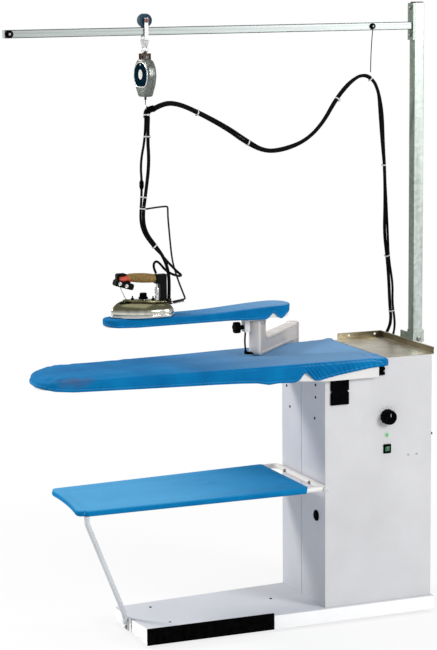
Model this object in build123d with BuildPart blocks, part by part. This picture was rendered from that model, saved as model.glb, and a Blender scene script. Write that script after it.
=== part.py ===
from build123d import *
import math
import os

os.makedirs("parts", exist_ok=True)

# Driving sizes in millimetres. X runs along the board with its tip at -X, +Y is the back, the floor is Z 0.
foot_height = 10
base_length = 1020
base_depth = 354
base_left_depth = 308
base_height = 46
sheet = 2
cabinet_left = 116
cabinet_right = 503
cabinet_setback = 16
top_height = 870
shelf_height = 812
step_x = 330
running_gap = 0.05
soft_gap = 0.3
board_top = 867
board_pad = 15
skirt_thickness = 6
sleeve_pad = 11
rail_size = 25
post_size = 36
tube_size = 18
hose_size = 11
cable_size = 8

base_front = -base_depth / 2
base_back = base_depth / 2
base_left = -base_length / 2
base_right = base_length / 2
base_top = foot_height + base_height
cabinet_front = base_front + cabinet_setback
cabinet_back = base_back


def block(x0, x1, y0, y1, z0, z1, mode=Mode.ADD):
    """Adds or cuts a box between two corners."""
    with Locations(((x0 + x1) / 2, (y0 + y1) / 2, (z0 + z1) / 2)):
        Box(abs(x1 - x0), abs(y1 - y0), abs(z1 - z0), mode=mode)


def rod(radius, start, end, mode=Mode.ADD):
    """Adds or cuts a round bar between two points."""
    a = Vector(*start)
    b = Vector(*end)
    with Locations(Plane(origin=(a + b) / 2, z_dir=b - a)):
        Cylinder(radius, (b - a).length, mode=mode)


def pan_screw(point, direction, radius=4.5, height=2.4):
    """Adds a low domed screw head standing on a face."""
    with Locations(Plane(origin=point, z_dir=direction)):
        Cylinder(radius, height, align=(Align.CENTER, Align.CENTER, Align.MIN))


def hex_bolt(point, direction, across=13, height=6):
    """Adds a hexagon bolt head with its washer on a face."""
    with Locations(Plane(origin=point, z_dir=direction)):
        Cylinder(across * 0.62, 1.5, align=(Align.CENTER, Align.CENTER, Align.MIN))
    with BuildSketch(Plane(origin=point, z_dir=direction)) as hexagon:
        RegularPolygon(across / 2, 6, major_radius=False)
    extrude(hexagon.sketch, amount=height)


def bend_radii(points):
    """Gives each bend of a cord 0.45 of its shorter run."""
    radii = []
    for i in range(1, len(points) - 1):
        before = Vector(*points[i]) - Vector(*points[i - 1])
        after = Vector(*points[i + 1]) - Vector(*points[i])
        half_turn = math.radians(before.get_angle(after) / 2)
        radii.append(0.45 * min(before.length, after.length) / math.tan(half_turn))
    return radii


def cord_route(points):
    """Joins the points of a cord with straight runs and tangent arcs."""
    FilletPolyline(*points, radius=bend_radii(points))


def cord_section(points, size):
    """Draws the round section of a cord at its first point."""
    with BuildSketch(Plane(origin=points[0], z_dir=Vector(*points[1]) - Vector(*points[0]))) as section:
        Circle(size / 2)
    return section.sketch


def cord_report(name, part, points, size, length):
    """Prints the bends of a cord and compares its volume with section times length."""
    radii = bend_radii(points)
    section = math.pi * size * size / 4
    print(name, "length", round(length), "smallest radius", round(min(radii), 1),
          "volume share", round(part.volume / (section * length), 4))


def coil_report(name, line, turns, wire):
    """Prints the least gap between neighbouring turns of a coil."""
    gaps = []
    for k in range(60):
        for j in range(9):
            start = k / 60
            later = start + (0.9 + 0.025 * j) / turns
            if later <= 1:
                gaps.append(((line @ start) - (line @ later)).length - wire)
    print(name, "least gap between turns", round(min(gaps), 2))


# Base pan: folded sheet, open below, cut away at the front left for the pedal
pedal_right = -72
pedal_arm_y = -32
pedal_lip = 18
pedal_hinge_y = -12
pedal_hinge_z = 30
pedal_rod_radius = 4
slit = 9
with BuildPart() as base_pan:
    with BuildSketch(Plane.XY.offset(foot_height)) as pan_outline:
        with BuildLine():
            Polyline(
                (base_left, base_front),
                (base_right, base_front),
                (base_right, base_back),
                (cabinet_left, base_back),
                (base_left, base_front + base_left_depth),
                close=True,
            )
        make_face()
        fillet(pan_outline.vertices().group_by(Axis.X)[0].sort_by(Axis.Y)[-1], 14)
    extrude(amount=base_height)
    offset(amount=-sheet, openings=base_pan.faces().sort_by(Axis.Z)[0], kind=Kind.INTERSECTION)
    with BuildSketch(Plane.XY.offset(foot_height - 1)):
        with BuildLine():
            Polyline(
                (base_left - 2, base_front - 2),
                (pedal_right, base_front - 2),
                (pedal_right, base_front + pedal_lip + 4),
                (base_left + 128, base_front + pedal_lip + 4),
                (base_left + 10, pedal_arm_y + slit),
                (base_left - 2, pedal_arm_y + slit),
                close=True,
            )
        make_face()
    extrude(amount=base_height + 2, mode=Mode.SUBTRACT)
    for rib_x in (base_left + 12, pedal_right + 6):
        block(rib_x, rib_x + 3, pedal_hinge_y - 14, 40, 12, base_top - sheet)
    rod(pedal_rod_radius, (base_left + 10, pedal_hinge_y, pedal_hinge_z),
        (pedal_right + 12, pedal_hinge_y, pedal_hinge_z), mode=Mode.SUBTRACT)
base_pan.part.label = "base_pan"
export_step(base_pan.part, "parts/base_pan.step")

# Rubber feet under the base pan, each on a threaded stud
foot_spots = [(-440, 60), (-440, -60), (0, 0), (450, 130), (450, -130)]
with BuildPart() as rubber_feet:
    for foot_x, foot_y in foot_spots:
        with Locations((foot_x, foot_y, 0)):
            Cone(17, 15, foot_height, align=(Align.CENTER, Align.CENTER, Align.MIN))
            Cylinder(5, base_top - sheet, align=(Align.CENTER, Align.CENTER, Align.MIN))
rubber_feet.part.label = "rubber_feet"
export_step(rubber_feet.part, "parts/rubber_feet.step")

# Hinge rod of the pedal, held in the two ribs of the base pan
with BuildPart() as pedal_rod:
    rod(pedal_rod_radius, (base_left + 5, pedal_hinge_y, pedal_hinge_z),
        (pedal_right + 12, pedal_hinge_y, pedal_hinge_z))
pedal_rod.part.label = "pedal_rod"
export_step(pedal_rod.part, "parts/pedal_rod.step")

# Pedal: folded plate over the front edge, with two arms back to the hinge rod
pedal_front_top = base_top + 10
pedal_bottom = foot_height + 1
pedal_slope = (pedal_front_top - base_top) / (pedal_arm_y - base_front)
pedal_top_angle = math.degrees(math.atan(pedal_slope))
with BuildPart() as pedal_plate:
    with BuildSketch(Plane(origin=(0, base_front, pedal_front_top), x_dir=(1, 0, 0),
                           z_dir=(0, pedal_slope, 1))):
        with BuildLine():
            Polyline(
                (base_left, 0),
                (pedal_right - 2, 0),
                (pedal_right - 2, pedal_lip),
                (base_left + 124, pedal_lip),
                (base_left + 6, pedal_arm_y - base_front),
                (base_left, pedal_arm_y - base_front),
                close=True,
            )
        make_face()
    extrude(amount=-sheet)
    block(base_left, pedal_right - 2, base_front, base_front + sheet, pedal_bottom, pedal_front_top - 1)
    with BuildSketch(Plane.YZ.offset(base_left)):
        with BuildLine():
            Polyline(
                (base_front, pedal_bottom),
                (pedal_arm_y, pedal_bottom),
                (pedal_arm_y, base_top - 1),
                (base_front, pedal_front_top - 1),
                close=True,
            )
        make_face()
    extrude(amount=sheet)
    for arm_x in (base_left + 6, pedal_right - 6):
        block(arm_x, arm_x + 4, base_front + 1, pedal_hinge_y + 9, pedal_hinge_z - 9, pedal_hinge_z + 9)
    block(base_left + 1, base_left + 7, base_front + 1, pedal_arm_y, pedal_hinge_z - 9, pedal_hinge_z + 9)
    rod(pedal_rod_radius + running_gap, (base_left + 3, pedal_hinge_y, pedal_hinge_z),
        (pedal_right + 2, pedal_hinge_y, pedal_hinge_z), mode=Mode.SUBTRACT)
pedal_plate.part.label = "pedal_plate"
export_step(pedal_plate.part, "parts/pedal_plate.step")

# Black rubber strip glued to the front of the pedal
with BuildPart() as pedal_strip:
    block(base_left - 2, pedal_right - 2, base_front - 4, base_front - 0.15, pedal_bottom, pedal_front_top)
    fillet(pedal_strip.faces().sort_by(Axis.Y)[0].edges().filter_by(Axis.X), 1.2)
pedal_strip.part.label = "pedal_strip"
export_step(pedal_strip.part, "parts/pedal_strip.step")

# Return spring of the pedal, wound round the hinge rod
spring_wire = 2
spring_radius = pedal_rod_radius + spring_wire / 2 + 0.6
spring_pitch = 2.6
spring_turns = 4
spring_x = base_left + 60
with BuildPart() as pedal_spring:
    with BuildLine() as spring_line:
        Helix(spring_pitch, spring_pitch * spring_turns, spring_radius,
              center=(spring_x, pedal_hinge_y, pedal_hinge_z), direction=(1, 0, 0))
    with BuildSketch(Plane(origin=spring_line.line @ 0, z_dir=spring_line.line % 0)):
        Circle(spring_wire / 2)
    sweep(path=spring_line.wires()[0], is_frenet=True)
    spring_end = spring_line.line @ 1
    rod(spring_wire / 2, spring_end, spring_end + (spring_line.line % 1) * 1)
pedal_spring.part.label = "pedal_spring"
export_step(pedal_spring.part, "parts/pedal_spring.step")
coil_report("pedal_spring", spring_line.line, spring_turns, spring_wire)

# Cabinet shell: front, right side, and a top stepped down under the board
knob_x = 340
knob_z = 675
lamp_z = 614
rocker_z = 568
rocker_width = 27
rocker_height = 30
knob_shaft = 3
seam_y = 23
with BuildPart() as cabinet_shell:
    block(cabinet_left, cabinet_right, cabinet_front, cabinet_front + sheet, base_top, shelf_height)
    block(step_x, cabinet_right, cabinet_front, cabinet_front + sheet, shelf_height, top_height)
    block(cabinet_right - sheet, cabinet_right, cabinet_front, cabinet_back, base_top, top_height)
    block(cabinet_left, step_x + sheet, cabinet_front, cabinet_back, shelf_height - sheet, shelf_height)
    block(step_x, step_x + sheet, cabinet_front, cabinet_back, shelf_height - sheet, top_height)
    block(step_x, cabinet_right, cabinet_front, cabinet_back, top_height - sheet, top_height)
    block(cabinet_left, cabinet_left + 16, cabinet_front, cabinet_front + sheet + 2, base_top, shelf_height)
    with Locations(Plane(origin=(knob_x, cabinet_front, knob_z), z_dir=(0, 1, 0))):
        Cylinder(knob_shaft + running_gap, 20, mode=Mode.SUBTRACT)
    with Locations(Plane(origin=(knob_x, cabinet_front, lamp_z), z_dir=(0, 1, 0))):
        Cylinder(5, 20, mode=Mode.SUBTRACT)
    block(knob_x - rocker_width / 2 + 2, knob_x + rocker_width / 2 - 2, cabinet_front - 5, cabinet_front + 5,
          rocker_z - rocker_height / 2 + 2, rocker_z + rocker_height / 2 - 2, mode=Mode.SUBTRACT)
    for hole_x in (418, 449):
        with Locations(Plane(origin=(hole_x, cabinet_front, 541), z_dir=(0, 1, 0))):
            Cylinder(2.6, 20, mode=Mode.SUBTRACT)
    duct_x = 210
    duct_y = 0
    duct_radius = 42
    with Locations((duct_x, duct_y, shelf_height)):
        Cylinder(duct_radius, 20, mode=Mode.SUBTRACT)
cabinet_shell.part.label = "cabinet_shell"
export_step(cabinet_shell.part, "parts/cabinet_shell.step")

# Left side panels: a rear one and a front one with a visible seam between
grommet_y = -96
grommet_z = 352
with BuildPart() as side_panels:
    for panel_front, panel_back in ((cabinet_front + 4, seam_y - 1), (seam_y + 1, cabinet_back - sheet)):
        block(cabinet_left, cabinet_left + sheet, panel_front, panel_back, base_top, shelf_height - sheet)
    with Locations(Plane(origin=(cabinet_left, grommet_y, grommet_z), z_dir=(1, 0, 0))):
        Cylinder(14, 20, mode=Mode.SUBTRACT)
side_panels.part.label = "side_panels"
export_step(side_panels.part, "parts/side_panels.step")

# Back panel with louvre slots for the fan's air
gland_spots = [(452, 752), (480, 724)]
with BuildPart() as back_panel:
    block(cabinet_left, cabinet_right - sheet, cabinet_back - sheet, cabinet_back, base_top, shelf_height - sheet)
    with Locations(Plane(origin=(210, cabinet_back, 230), z_dir=(0, 1, 0))):
        with GridLocations(0, 14, 1, 9):
            Box(110, 5, 20, mode=Mode.SUBTRACT)
    for gland_x, gland_z in gland_spots:
        with Locations(Plane(origin=(gland_x, cabinet_back, gland_z), z_dir=(0, 1, 0))):
            Cylinder(7, 20, mode=Mode.SUBTRACT)
back_panel.part.label = "back_panel"
export_step(back_panel.part, "parts/back_panel.step")

# Cable glands on the back panel, where the steam hose and the iron's cable leave
with BuildPart() as rear_glands:
    for gland_x, gland_z in gland_spots:
        rod(7, (gland_x, cabinet_back - 14, gland_z), (gland_x, cabinet_back + 18, gland_z))
        with BuildSketch(Plane(origin=(gland_x, cabinet_back, gland_z), z_dir=(0, 1, 0))):
            RegularPolygon(11, 6, major_radius=False)
        extrude(amount=7)
rear_glands.part.label = "rear_glands"
export_step(rear_glands.part, "parts/rear_glands.step")

# Black plastic cover plate with two clip notches, on the cabinet front
with BuildPart() as front_cover:
    block(135, 200, cabinet_front - 5, cabinet_front, 728, shelf_height - 0.3)
    fillet(front_cover.edges().filter_by(Axis.Y).group_by(Axis.Z)[0], 3)
    block(133, 138, cabinet_front - 6, cabinet_front + 1, 768, 775, mode=Mode.SUBTRACT)
    block(196, 202, cabinet_front - 6, cabinet_front + 1, 768, 775, mode=Mode.SUBTRACT)
front_cover.part.label = "front_cover"
export_step(front_cover.part, "parts/front_cover.step")

# Rubber grommet in the left side panel
with BuildPart() as side_grommet:
    with Locations(Plane(origin=(cabinet_left, grommet_y, grommet_z), z_dir=(-1, 0, 0))):
        Cylinder(18, 3, align=(Align.CENTER, Align.CENTER, Align.MIN))
        Cylinder(14, 12)
    fillet(side_grommet.faces().sort_by(Axis.X)[0].edges(), 1)
side_grommet.part.label = "side_grommet"
export_step(side_grommet.part, "parts/side_grommet.step")

# Control knob with a grip rim and its shaft through the front
knob_radius = 25.5
knob_depth = 25
with BuildPart() as control_knob:
    with Locations(Plane(origin=(knob_x, cabinet_front - 0.8, knob_z), z_dir=(0, -1, 0))):
        Cone(knob_radius, knob_radius - 2, knob_depth, align=(Align.CENTER, Align.CENTER, Align.MIN))
    fillet(control_knob.faces().sort_by(Axis.Y)[0].edges(), 3)
    with Locations(Plane(origin=(knob_x, cabinet_front - knob_depth, knob_z), z_dir=(0, -1, 0))):
        with PolarLocations(knob_radius + 1.5, 12):
            Cylinder(3.4, knob_depth * 3, mode=Mode.SUBTRACT)
    rod(knob_shaft, (knob_x, cabinet_front - 5, knob_z), (knob_x, cabinet_front + 18, knob_z))
control_knob.part.label = "control_knob"
export_step(control_knob.part, "parts/control_knob.step")

# Green pilot lamp pressed into the front
with BuildPart() as pilot_lamp:
    with Locations(Plane(origin=(knob_x, cabinet_front, lamp_z), z_dir=(0, -1, 0))):
        Cylinder(8, 3, align=(Align.CENTER, Align.CENTER, Align.MIN))
    with Locations((knob_x, cabinet_front - 3, lamp_z)):
        Sphere(5.5)
    rod(4.8, (knob_x, cabinet_front - 1, lamp_z), (knob_x, cabinet_front + 16, lamp_z))
pilot_lamp.part.label = "pilot_lamp"
export_step(pilot_lamp.part, "parts/pilot_lamp.step")

# Bezel of the main switch, with a body behind the front
with BuildPart() as rocker_bezel:
    block(knob_x - rocker_width / 2, knob_x + rocker_width / 2, cabinet_front - 3.5, cabinet_front,
          rocker_z - rocker_height / 2, rocker_z + rocker_height / 2)
    fillet(rocker_bezel.edges().filter_by(Axis.Y), 2)
    block(knob_x - rocker_width / 2 + 2.3, knob_x + rocker_width / 2 - 2.3, cabinet_front - 1, cabinet_front + 22,
          rocker_z - rocker_height / 2 + 2.3, rocker_z + rocker_height / 2 - 2.3)
    block(knob_x - 8.3, knob_x + 8.3, cabinet_front - 5, cabinet_front + 12, rocker_z - 11, rocker_z + 11,
          mode=Mode.SUBTRACT)
    for side in (-1, 1):
        rod(1.5, (knob_x + side * 8.5, cabinet_front + 3, rocker_z), (knob_x + side * 7, cabinet_front + 3, rocker_z))
rocker_bezel.part.label = "rocker_bezel"
export_step(rocker_bezel.part, "parts/rocker_bezel.step")

# Green rocker, tilted about two short pins in the bezel
with BuildPart() as rocker:
    with BuildSketch(Plane.YZ.offset(knob_x - 8)):
        with BuildLine():
            Polyline(
                (cabinet_front + 5.5, rocker_z - 4),
                (cabinet_front - 2, rocker_z - 8.6),
                (cabinet_front - 3.4, rocker_z - 8.4),
                (cabinet_front - 4.2, rocker_z),
                (cabinet_front - 7, rocker_z + 8),
                (cabinet_front - 5, rocker_z + 8.6),
                (cabinet_front + 5.5, rocker_z + 4),
                close=True,
            )
        make_face()
    extrude(amount=16)
    for side in (-1, 1):
        rod(1.5 + running_gap, (knob_x + side * 9, cabinet_front + 3, rocker_z),
            (knob_x + side * 6.8, cabinet_front + 3, rocker_z), mode=Mode.SUBTRACT)
rocker.part.label = "rocker"
export_step(rocker.part, "parts/rocker.step")

# Stainless worktop tray with an upstand at the back and on the right
tray_back = 226
tray_rim = 23.5
tray_sheet = 1.5
tray_right = 511
with BuildPart() as worktop_tray:
    block(step_x + 3, tray_right, cabinet_front, tray_back, top_height, top_height + tray_sheet)
    block(345, tray_right, tray_back - tray_sheet, tray_back, top_height, top_height + tray_rim)
    block(tray_right - tray_sheet, tray_right, cabinet_front, tray_back, top_height, top_height + tray_rim)
    block(345, tray_right, tray_back - 6, tray_back, top_height + tray_rim - 1.2, top_height + tray_rim)
    block(tray_right - 6, tray_right, cabinet_front, tray_back, top_height + tray_rim - 1.2,
          top_height + tray_rim)
    for hole_x in (388, 486):
        with Locations(Plane(origin=(hole_x, tray_back, top_height + 13), z_dir=(0, 1, 0))):
            Cylinder(3.6, 10, mode=Mode.SUBTRACT)
worktop_tray.part.label = "worktop_tray"
export_step(worktop_tray.part, "parts/worktop_tray.step")


def board_outline(inset):
    """Draws the board's plan outline, drawn in by an inset."""
    with BuildSketch(mode=Mode.PRIVATE) as plan:
        with BuildLine():
            Line((-785, -188), (322, -188))
            Line((322, -188), (322, 198))
            ThreePointArc((322, 198), (315, 214), (298, 218.5))
            Polyline((298, 218.5), (-20, 165), (-480, 131), (-700, 90))
            ThreePointArc((-700, 90), (-796, 27), (-851, -105))
            ThreePointArc((-851, -105), (-838, -166), (-785, -188))
        make_face()
        if inset:
            offset(amount=-inset, kind=Kind.INTERSECTION)
    return plan.sketch


# Board hull: the white suction box under the board, deeper over the cabinet
hull_inset = skirt_thickness + soft_gap


def hull_form(inset, rise):
    """The hull's outer form, or its hollow when drawn in and raised."""
    with BuildPart() as form:
        with BuildSketch(Plane.XY.offset(790)):
            add(board_outline(inset))
        extrude(amount=board_top - sheet - 790)
        with BuildSketch(Plane.XZ.offset(-400)):
            with BuildLine():
                Polyline(
                    (-900, board_top - sheet),
                    (-900, 857 + rise),
                    (-800, 853 + rise),
                    (-100, 829 + rise),
                    (110, shelf_height + rise),
                    (300 - rise, shelf_height + rise),
                    (300 - rise, board_top - sheet),
                    close=True,
                )
            make_face()
        extrude(amount=800, mode=Mode.INTERSECT)
    return form.part


with BuildPart() as board_hull:
    add(hull_form(hull_inset, 0))
    add(hull_form(hull_inset + sheet, sheet), mode=Mode.SUBTRACT)
    with Locations((duct_x, duct_y, shelf_height)):
        Cylinder(duct_radius, 20, mode=Mode.SUBTRACT)
board_hull.part.label = "board_hull"
export_step(board_hull.part, "parts/board_hull.step")

# Perforated plate that closes the hull and carries the pad
with BuildPart() as perforated_plate:
    with BuildSketch(Plane.XY.offset(board_top - sheet)):
        add(board_outline(hull_inset))
        with Locations((-240, -15)):
            with GridLocations(90, 70, 11, 3):
                RegularPolygon(9, 6, mode=Mode.SUBTRACT)
    extrude(amount=sheet)
perforated_plate.part.label = "perforated_plate"
export_step(perforated_plate.part, "parts/perforated_plate.step")


def skirt_cut(points, y0, y1):
    """Cuts everything below a hem line between two depths."""
    with BuildSketch(Plane.XZ.offset(-y1)) as waste:
        with BuildLine():
            Polyline(*points, (points[-1][0], 700), (points[0][0], 700), close=True)
        make_face()
    extrude(waste.sketch, amount=y1 - y0, mode=Mode.SUBTRACT)


# Board cover: padded blue cloth over the plate with a skirt round the hull, notched at the front
board_cover_top = board_top + board_pad
with BuildPart() as board_cover:
    with BuildSketch(Plane.XY.offset(800)):
        add(board_outline(0))
    extrude(amount=board_cover_top - 800)
    fillet(board_cover.faces().sort_by(Axis.Z)[-1].edges(), 10)
    with BuildSketch(Plane.XY.offset(795)):
        add(board_outline(skirt_thickness))
    extrude(amount=board_top + soft_gap - 795, mode=Mode.SUBTRACT)
    hem = [(-900, 864), (-845, 860), (-800, 851), (-740, 845), (-500, 838), (-260, 832)]
    skirt_cut(hem + [(-132, 828), (-90, 817), (-60, 821), (3, 818), (35, 847), (72, 819), (84, 818),
                     (150, 829), (220, 838), (286, 846), (340, 853)], -220, -120)
    skirt_cut(hem + [(0, 826), (200, 832), (286, 846), (340, 853)], -121, 260)
board_cover.part.label = "board_cover"
export_step(board_cover.part, "parts/board_cover.step")

# Black latch at the right end of the hull
with BuildPart() as board_latch:
    block(300, 322, -182, -160, 819, 842)
    fillet(board_latch.edges().filter_by(Axis.Y), 2)
    block(316, 326, -190, -150, 826, 835, mode=Mode.SUBTRACT)
board_latch.part.label = "board_latch"
export_step(board_latch.part, "parts/board_latch.step")

# Bracket with the upright pin behind the board, on which the sleeve arm swings
pivot_x = 175
pivot_y = 222
pin_radius = 8
arm_bottom = 887
arm_top = 945
boss_drop = 22
with BuildPart() as sleeve_bracket:
    block(pivot_x - 30, pivot_x + 30, cabinet_back, pivot_y + 24, shelf_height - 8, shelf_height - 2)
    block(pivot_x - 30, pivot_x + 30, cabinet_back, cabinet_back + 4, 740, shelf_height - 2)
    for rib_x in (pivot_x - 30, pivot_x + 26):
        with BuildSketch(Plane.YZ.offset(rib_x)):
            with BuildLine():
                Polyline(
                    (cabinet_back + 3, 750),
                    (cabinet_back + 3, shelf_height - 5),
                    (pivot_y + 22, shelf_height - 5),
                    close=True,
                )
            make_face()
        extrude(amount=4)
    rod(22, (pivot_x, pivot_y, shelf_height - 4), (pivot_x, pivot_y, arm_bottom - boss_drop - 0.3))
    rod(pin_radius, (pivot_x, pivot_y, arm_bottom - 40), (pivot_x, pivot_y, arm_top - 6))
sleeve_bracket.part.label = "sleeve_bracket"
export_step(sleeve_bracket.part, "parts/sleeve_bracket.step")

# Sleeve arm: cast L, from the pivot diagonally over the board to the upright under the sleeve board
arm_end_x = -79
arm_end_y = -41
arm_width = 43
post_depth = 57
post_top = 1004
arm_run = Vector(pivot_x - arm_end_x, pivot_y - arm_end_y, 0)
arm_angle = math.degrees(math.atan2(arm_run.Y, arm_run.X))
arm_length = arm_run.length
turn_x = arm_end_x + math.cos(math.radians(arm_angle)) * post_depth / 2
turn_y = arm_end_y + math.sin(math.radians(arm_angle)) * post_depth / 2
turn_radius = 12
with BuildPart() as sleeve_arm:
    with BuildSketch(Plane(origin=(arm_end_x, arm_end_y, 0), x_dir=arm_run,
                           z_dir=arm_run.cross(Vector(0, 0, 1)))):
        with BuildLine():
            Polyline(
                (0, arm_bottom + 12),
                (14, arm_bottom),
                (arm_length, arm_bottom),
                (arm_length, arm_top),
                (post_depth + 16, arm_top),
                (post_depth, arm_top + 16),
                (post_depth, post_top),
                (0, post_top),
                close=True,
            )
        make_face()
    extrude(amount=arm_width / 2, both=True)
    fillet(sleeve_arm.edges().filter_by(Axis.Z).group_by(SortBy.LENGTH)[-1], 6)
    fillet(sleeve_arm.faces().sort_by(Axis.Z)[-1].edges(), 1)
    rod(22, (pivot_x, pivot_y, arm_bottom - boss_drop), (pivot_x, pivot_y, arm_top))
    rod(pin_radius + running_gap, (pivot_x, pivot_y, arm_bottom - 60), (pivot_x, pivot_y, arm_top - 5.7),
        mode=Mode.SUBTRACT)
    rod(turn_radius, (turn_x, turn_y, post_top - 2), (turn_x, turn_y, post_top + 9.7))
    block(-113, -80, -38, -18, 893, 903)
sleeve_arm.part.label = "sleeve_arm"
export_step(sleeve_arm.part, "parts/sleeve_arm.step")

# Sleeve board outline: narrow at the tip, round at the right end
sleeve_left_top = 1041
sleeve_right_top = 1056
sleeve_hull_bottom = 1014
sleeve_skirt = 5
sleeve_seam_x = -310


def sleeve_form(inset, bottom, drop):
    """The sleeve board's outer form, drawn in by an inset and lowered by a drop."""
    with BuildPart() as form:
        with BuildSketch(Plane.XY.offset(bottom)):
            with BuildLine():
                Line((-545, -72), (-10, -87))
                ThreePointArc((-10, -87), (47, -28), (-10, 31))
                Line((-10, 31), (-545, 16))
                ThreePointArc((-545, 16), (-589, -28), (-545, -72))
            make_face()
            if inset:
                offset(amount=-inset, kind=Kind.INTERSECTION)
        extrude(amount=100)
        with BuildSketch(Plane.XZ.offset(-200)):
            with BuildLine():
                Spline((20, sleeve_right_top - drop), (sleeve_seam_x, sleeve_left_top - drop), tangents=((-1, 0), (-1, 0)))
                Polyline(
                    (sleeve_seam_x, sleeve_left_top - drop),
                    (-620, sleeve_left_top - drop),
                    (-620, bottom),
                    (80, bottom),
                    (80, sleeve_right_top - drop),
                    (20, sleeve_right_top - drop),
                )
            make_face()
        extrude(amount=400, mode=Mode.INTERSECT)
    return form.part


# Sleeve board hull: white sheet box, a wedge that thins toward the tip
with BuildPart() as sleeve_hull:
    add(sleeve_form(sleeve_skirt + soft_gap, sleeve_hull_bottom, sleeve_pad + soft_gap))
sleeve_hull.part.label = "sleeve_hull"
export_step(sleeve_hull.part, "parts/sleeve_hull.step")

# Sleeve board cover: padded blue cloth with a skirt, notched near the right end
with BuildPart() as sleeve_cover:
    add(sleeve_form(0, 1000, 0))
    top_edges = sleeve_cover.edges().filter_by_position(Axis.Z, 1038, 1060)
    fillet([e for e in top_edges if e not in top_edges.filter_by(Axis.Y)], 7)
    add(sleeve_form(sleeve_skirt, 995, sleeve_pad), mode=Mode.SUBTRACT)
    sleeve_hem = [(-620, 1022), (-585, 1019), (-560, 1014.5), (-490, 1012), (-290, 1014), (-180, 1015),
                  (-60, 1011)]
    skirt_cut(sleeve_hem + [(-31, 1032), (-8, 1012), (2, 1012), (20, 1026), (60, 1036)], -120, -28)
    skirt_cut(sleeve_hem + [(0, 1018), (60, 1030)], -29, 80)
    # the flat panel under the iron and the rising panel beside it meet at a cross seam
    split(bisect_by=Plane.YZ.offset(sleeve_seam_x), keep=Keep.BOTH)
sleeve_cover.part.label = "sleeve_cover"
export_step(sleeve_cover.part, "parts/sleeve_cover.step")

# Collar under the sleeve board: turns on the arm's stub and carries the clamp
clamp_y = -35
clamp_z = 983
clamp_screw = 4
with BuildPart() as sleeve_collar:
    rod(34, (turn_x, turn_y, post_top + 0.3), (turn_x, turn_y, sleeve_hull_bottom))
    block(-115, turn_x, -50, -16, post_top + 0.3, sleeve_hull_bottom)
    block(-115, -97, -50, -20, 968, sleeve_hull_bottom)
    rod(turn_radius + running_gap, (turn_x, turn_y, 990), (turn_x, turn_y, sleeve_hull_bottom + 5),
        mode=Mode.SUBTRACT)
    rod(clamp_screw + running_gap, (-120, clamp_y, clamp_z), (-90, clamp_y, clamp_z), mode=Mode.SUBTRACT)
sleeve_collar.part.label = "sleeve_collar"
export_step(sleeve_collar.part, "parts/sleeve_collar.step")

# Clamp knob with its screw through the collar
with BuildPart() as clamp_knob:
    with BuildSketch(Plane(origin=(-147, clamp_y, clamp_z), z_dir=(1, 0, 0))):
        Circle(18.5)
        with PolarLocations(20.5, 6):
            Circle(5, mode=Mode.SUBTRACT)
    extrude(amount=18)
    fillet(clamp_knob.faces().sort_by(Axis.X)[0].edges(), 2)
    rod(7, (-130, clamp_y, clamp_z), (-115.5, clamp_y, clamp_z))
    rod(clamp_screw, (-130, clamp_y, clamp_z), (-96, clamp_y, clamp_z))
clamp_knob.part.label = "clamp_knob"
export_step(clamp_knob.part, "parts/clamp_knob.step")

# Heater lead of the sleeve board, from the collar down to the arm
lead_size = 6
lead_points = [(-106, -32, 967.4), (-109, -34, 947), (-107, -29, 925), (-104, -28, 903.6)]
with BuildPart() as sleeve_lead:
    with BuildLine() as lead_line:
        cord_route(lead_points)
    sweep(cord_section(lead_points, lead_size), path=lead_line.wires()[0])
sleeve_lead.part.label = "sleeve_lead"
export_step(sleeve_lead.part, "parts/sleeve_lead.step")
cord_report("sleeve_lead", sleeve_lead.part, lead_points, lead_size, lead_line.wires()[0].length)

# Square post beside the cabinet
post_left = 514
post_front = -4
post_low_z = 480
post_top_z = 2009
with BuildPart() as post:
    with BuildSketch(Plane.XY.offset(post_low_z)):
        with Locations((post_left + post_size / 2, post_front + post_size / 2)):
            RectangleRounded(post_size, post_size, 3)
            RectangleRounded(post_size - 4, post_size - 4, 1.5, mode=Mode.SUBTRACT)
    extrude(amount=post_top_z - post_low_z)
    block(post_left + 1, post_left + post_size - 1, post_front + 1, post_front + post_size - 1,
          post_top_z - 2, post_top_z)
post.part.label = "post"
export_step(post.part, "parts/post.step")

# Brackets of the post: two clamps on the cabinet's right side and the flange plate of the rail
with BuildPart() as frame_brackets:
    for clamp_low, plate_low, plate_high in ((885, 842, 916), (502, 495, 552)):
        block(tray_right, post_left, -12, 82, plate_low, plate_high)
        block(cabinet_right, tray_right, -12, 82, plate_low, plate_low + 24)
        block(post_left, post_left + post_size + 4, post_front - 4, post_front + post_size + 4,
              clamp_low, clamp_low + 40)
        block(post_left, post_left + post_size, post_front, post_front + post_size, clamp_low - 1,
              clamp_low + 41, mode=Mode.SUBTRACT)
    block(508, post_left, -6, 34, 1888, 2008)
frame_brackets.part.label = "frame_brackets"
export_step(frame_brackets.part, "parts/frame_brackets.step")

# Rail: square tube that leaves the post and droops slightly to its free end
rail_y = 14
rail_left = -880
rail_right = 508
rail_droop = 0.0044
rail_right_z = 1947.5 - rail_size / 2
rail_left_z = rail_right_z - rail_droop * (rail_right - rail_left)
with BuildPart() as rail:
    with BuildSketch(Plane.YZ.offset(rail_left)) as rail_start:
        with Locations((rail_y, rail_left_z)):
            RectangleRounded(rail_size, rail_size, 2.5)
            RectangleRounded(rail_size - 4, rail_size - 4, 1, mode=Mode.SUBTRACT)
    with BuildSketch(Plane.YZ.offset(rail_right)) as rail_end:
        with Locations((rail_y, rail_right_z)):
            RectangleRounded(rail_size, rail_size, 2.5)
            RectangleRounded(rail_size - 4, rail_size - 4, 1, mode=Mode.SUBTRACT)
    loft()
    block(rail_left, rail_left + 2, rail_y - 11, rail_y + 11, rail_left_z - 11, rail_left_z + 11)
rail.part.label = "rail"
export_step(rail.part, "parts/rail.step")

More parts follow.
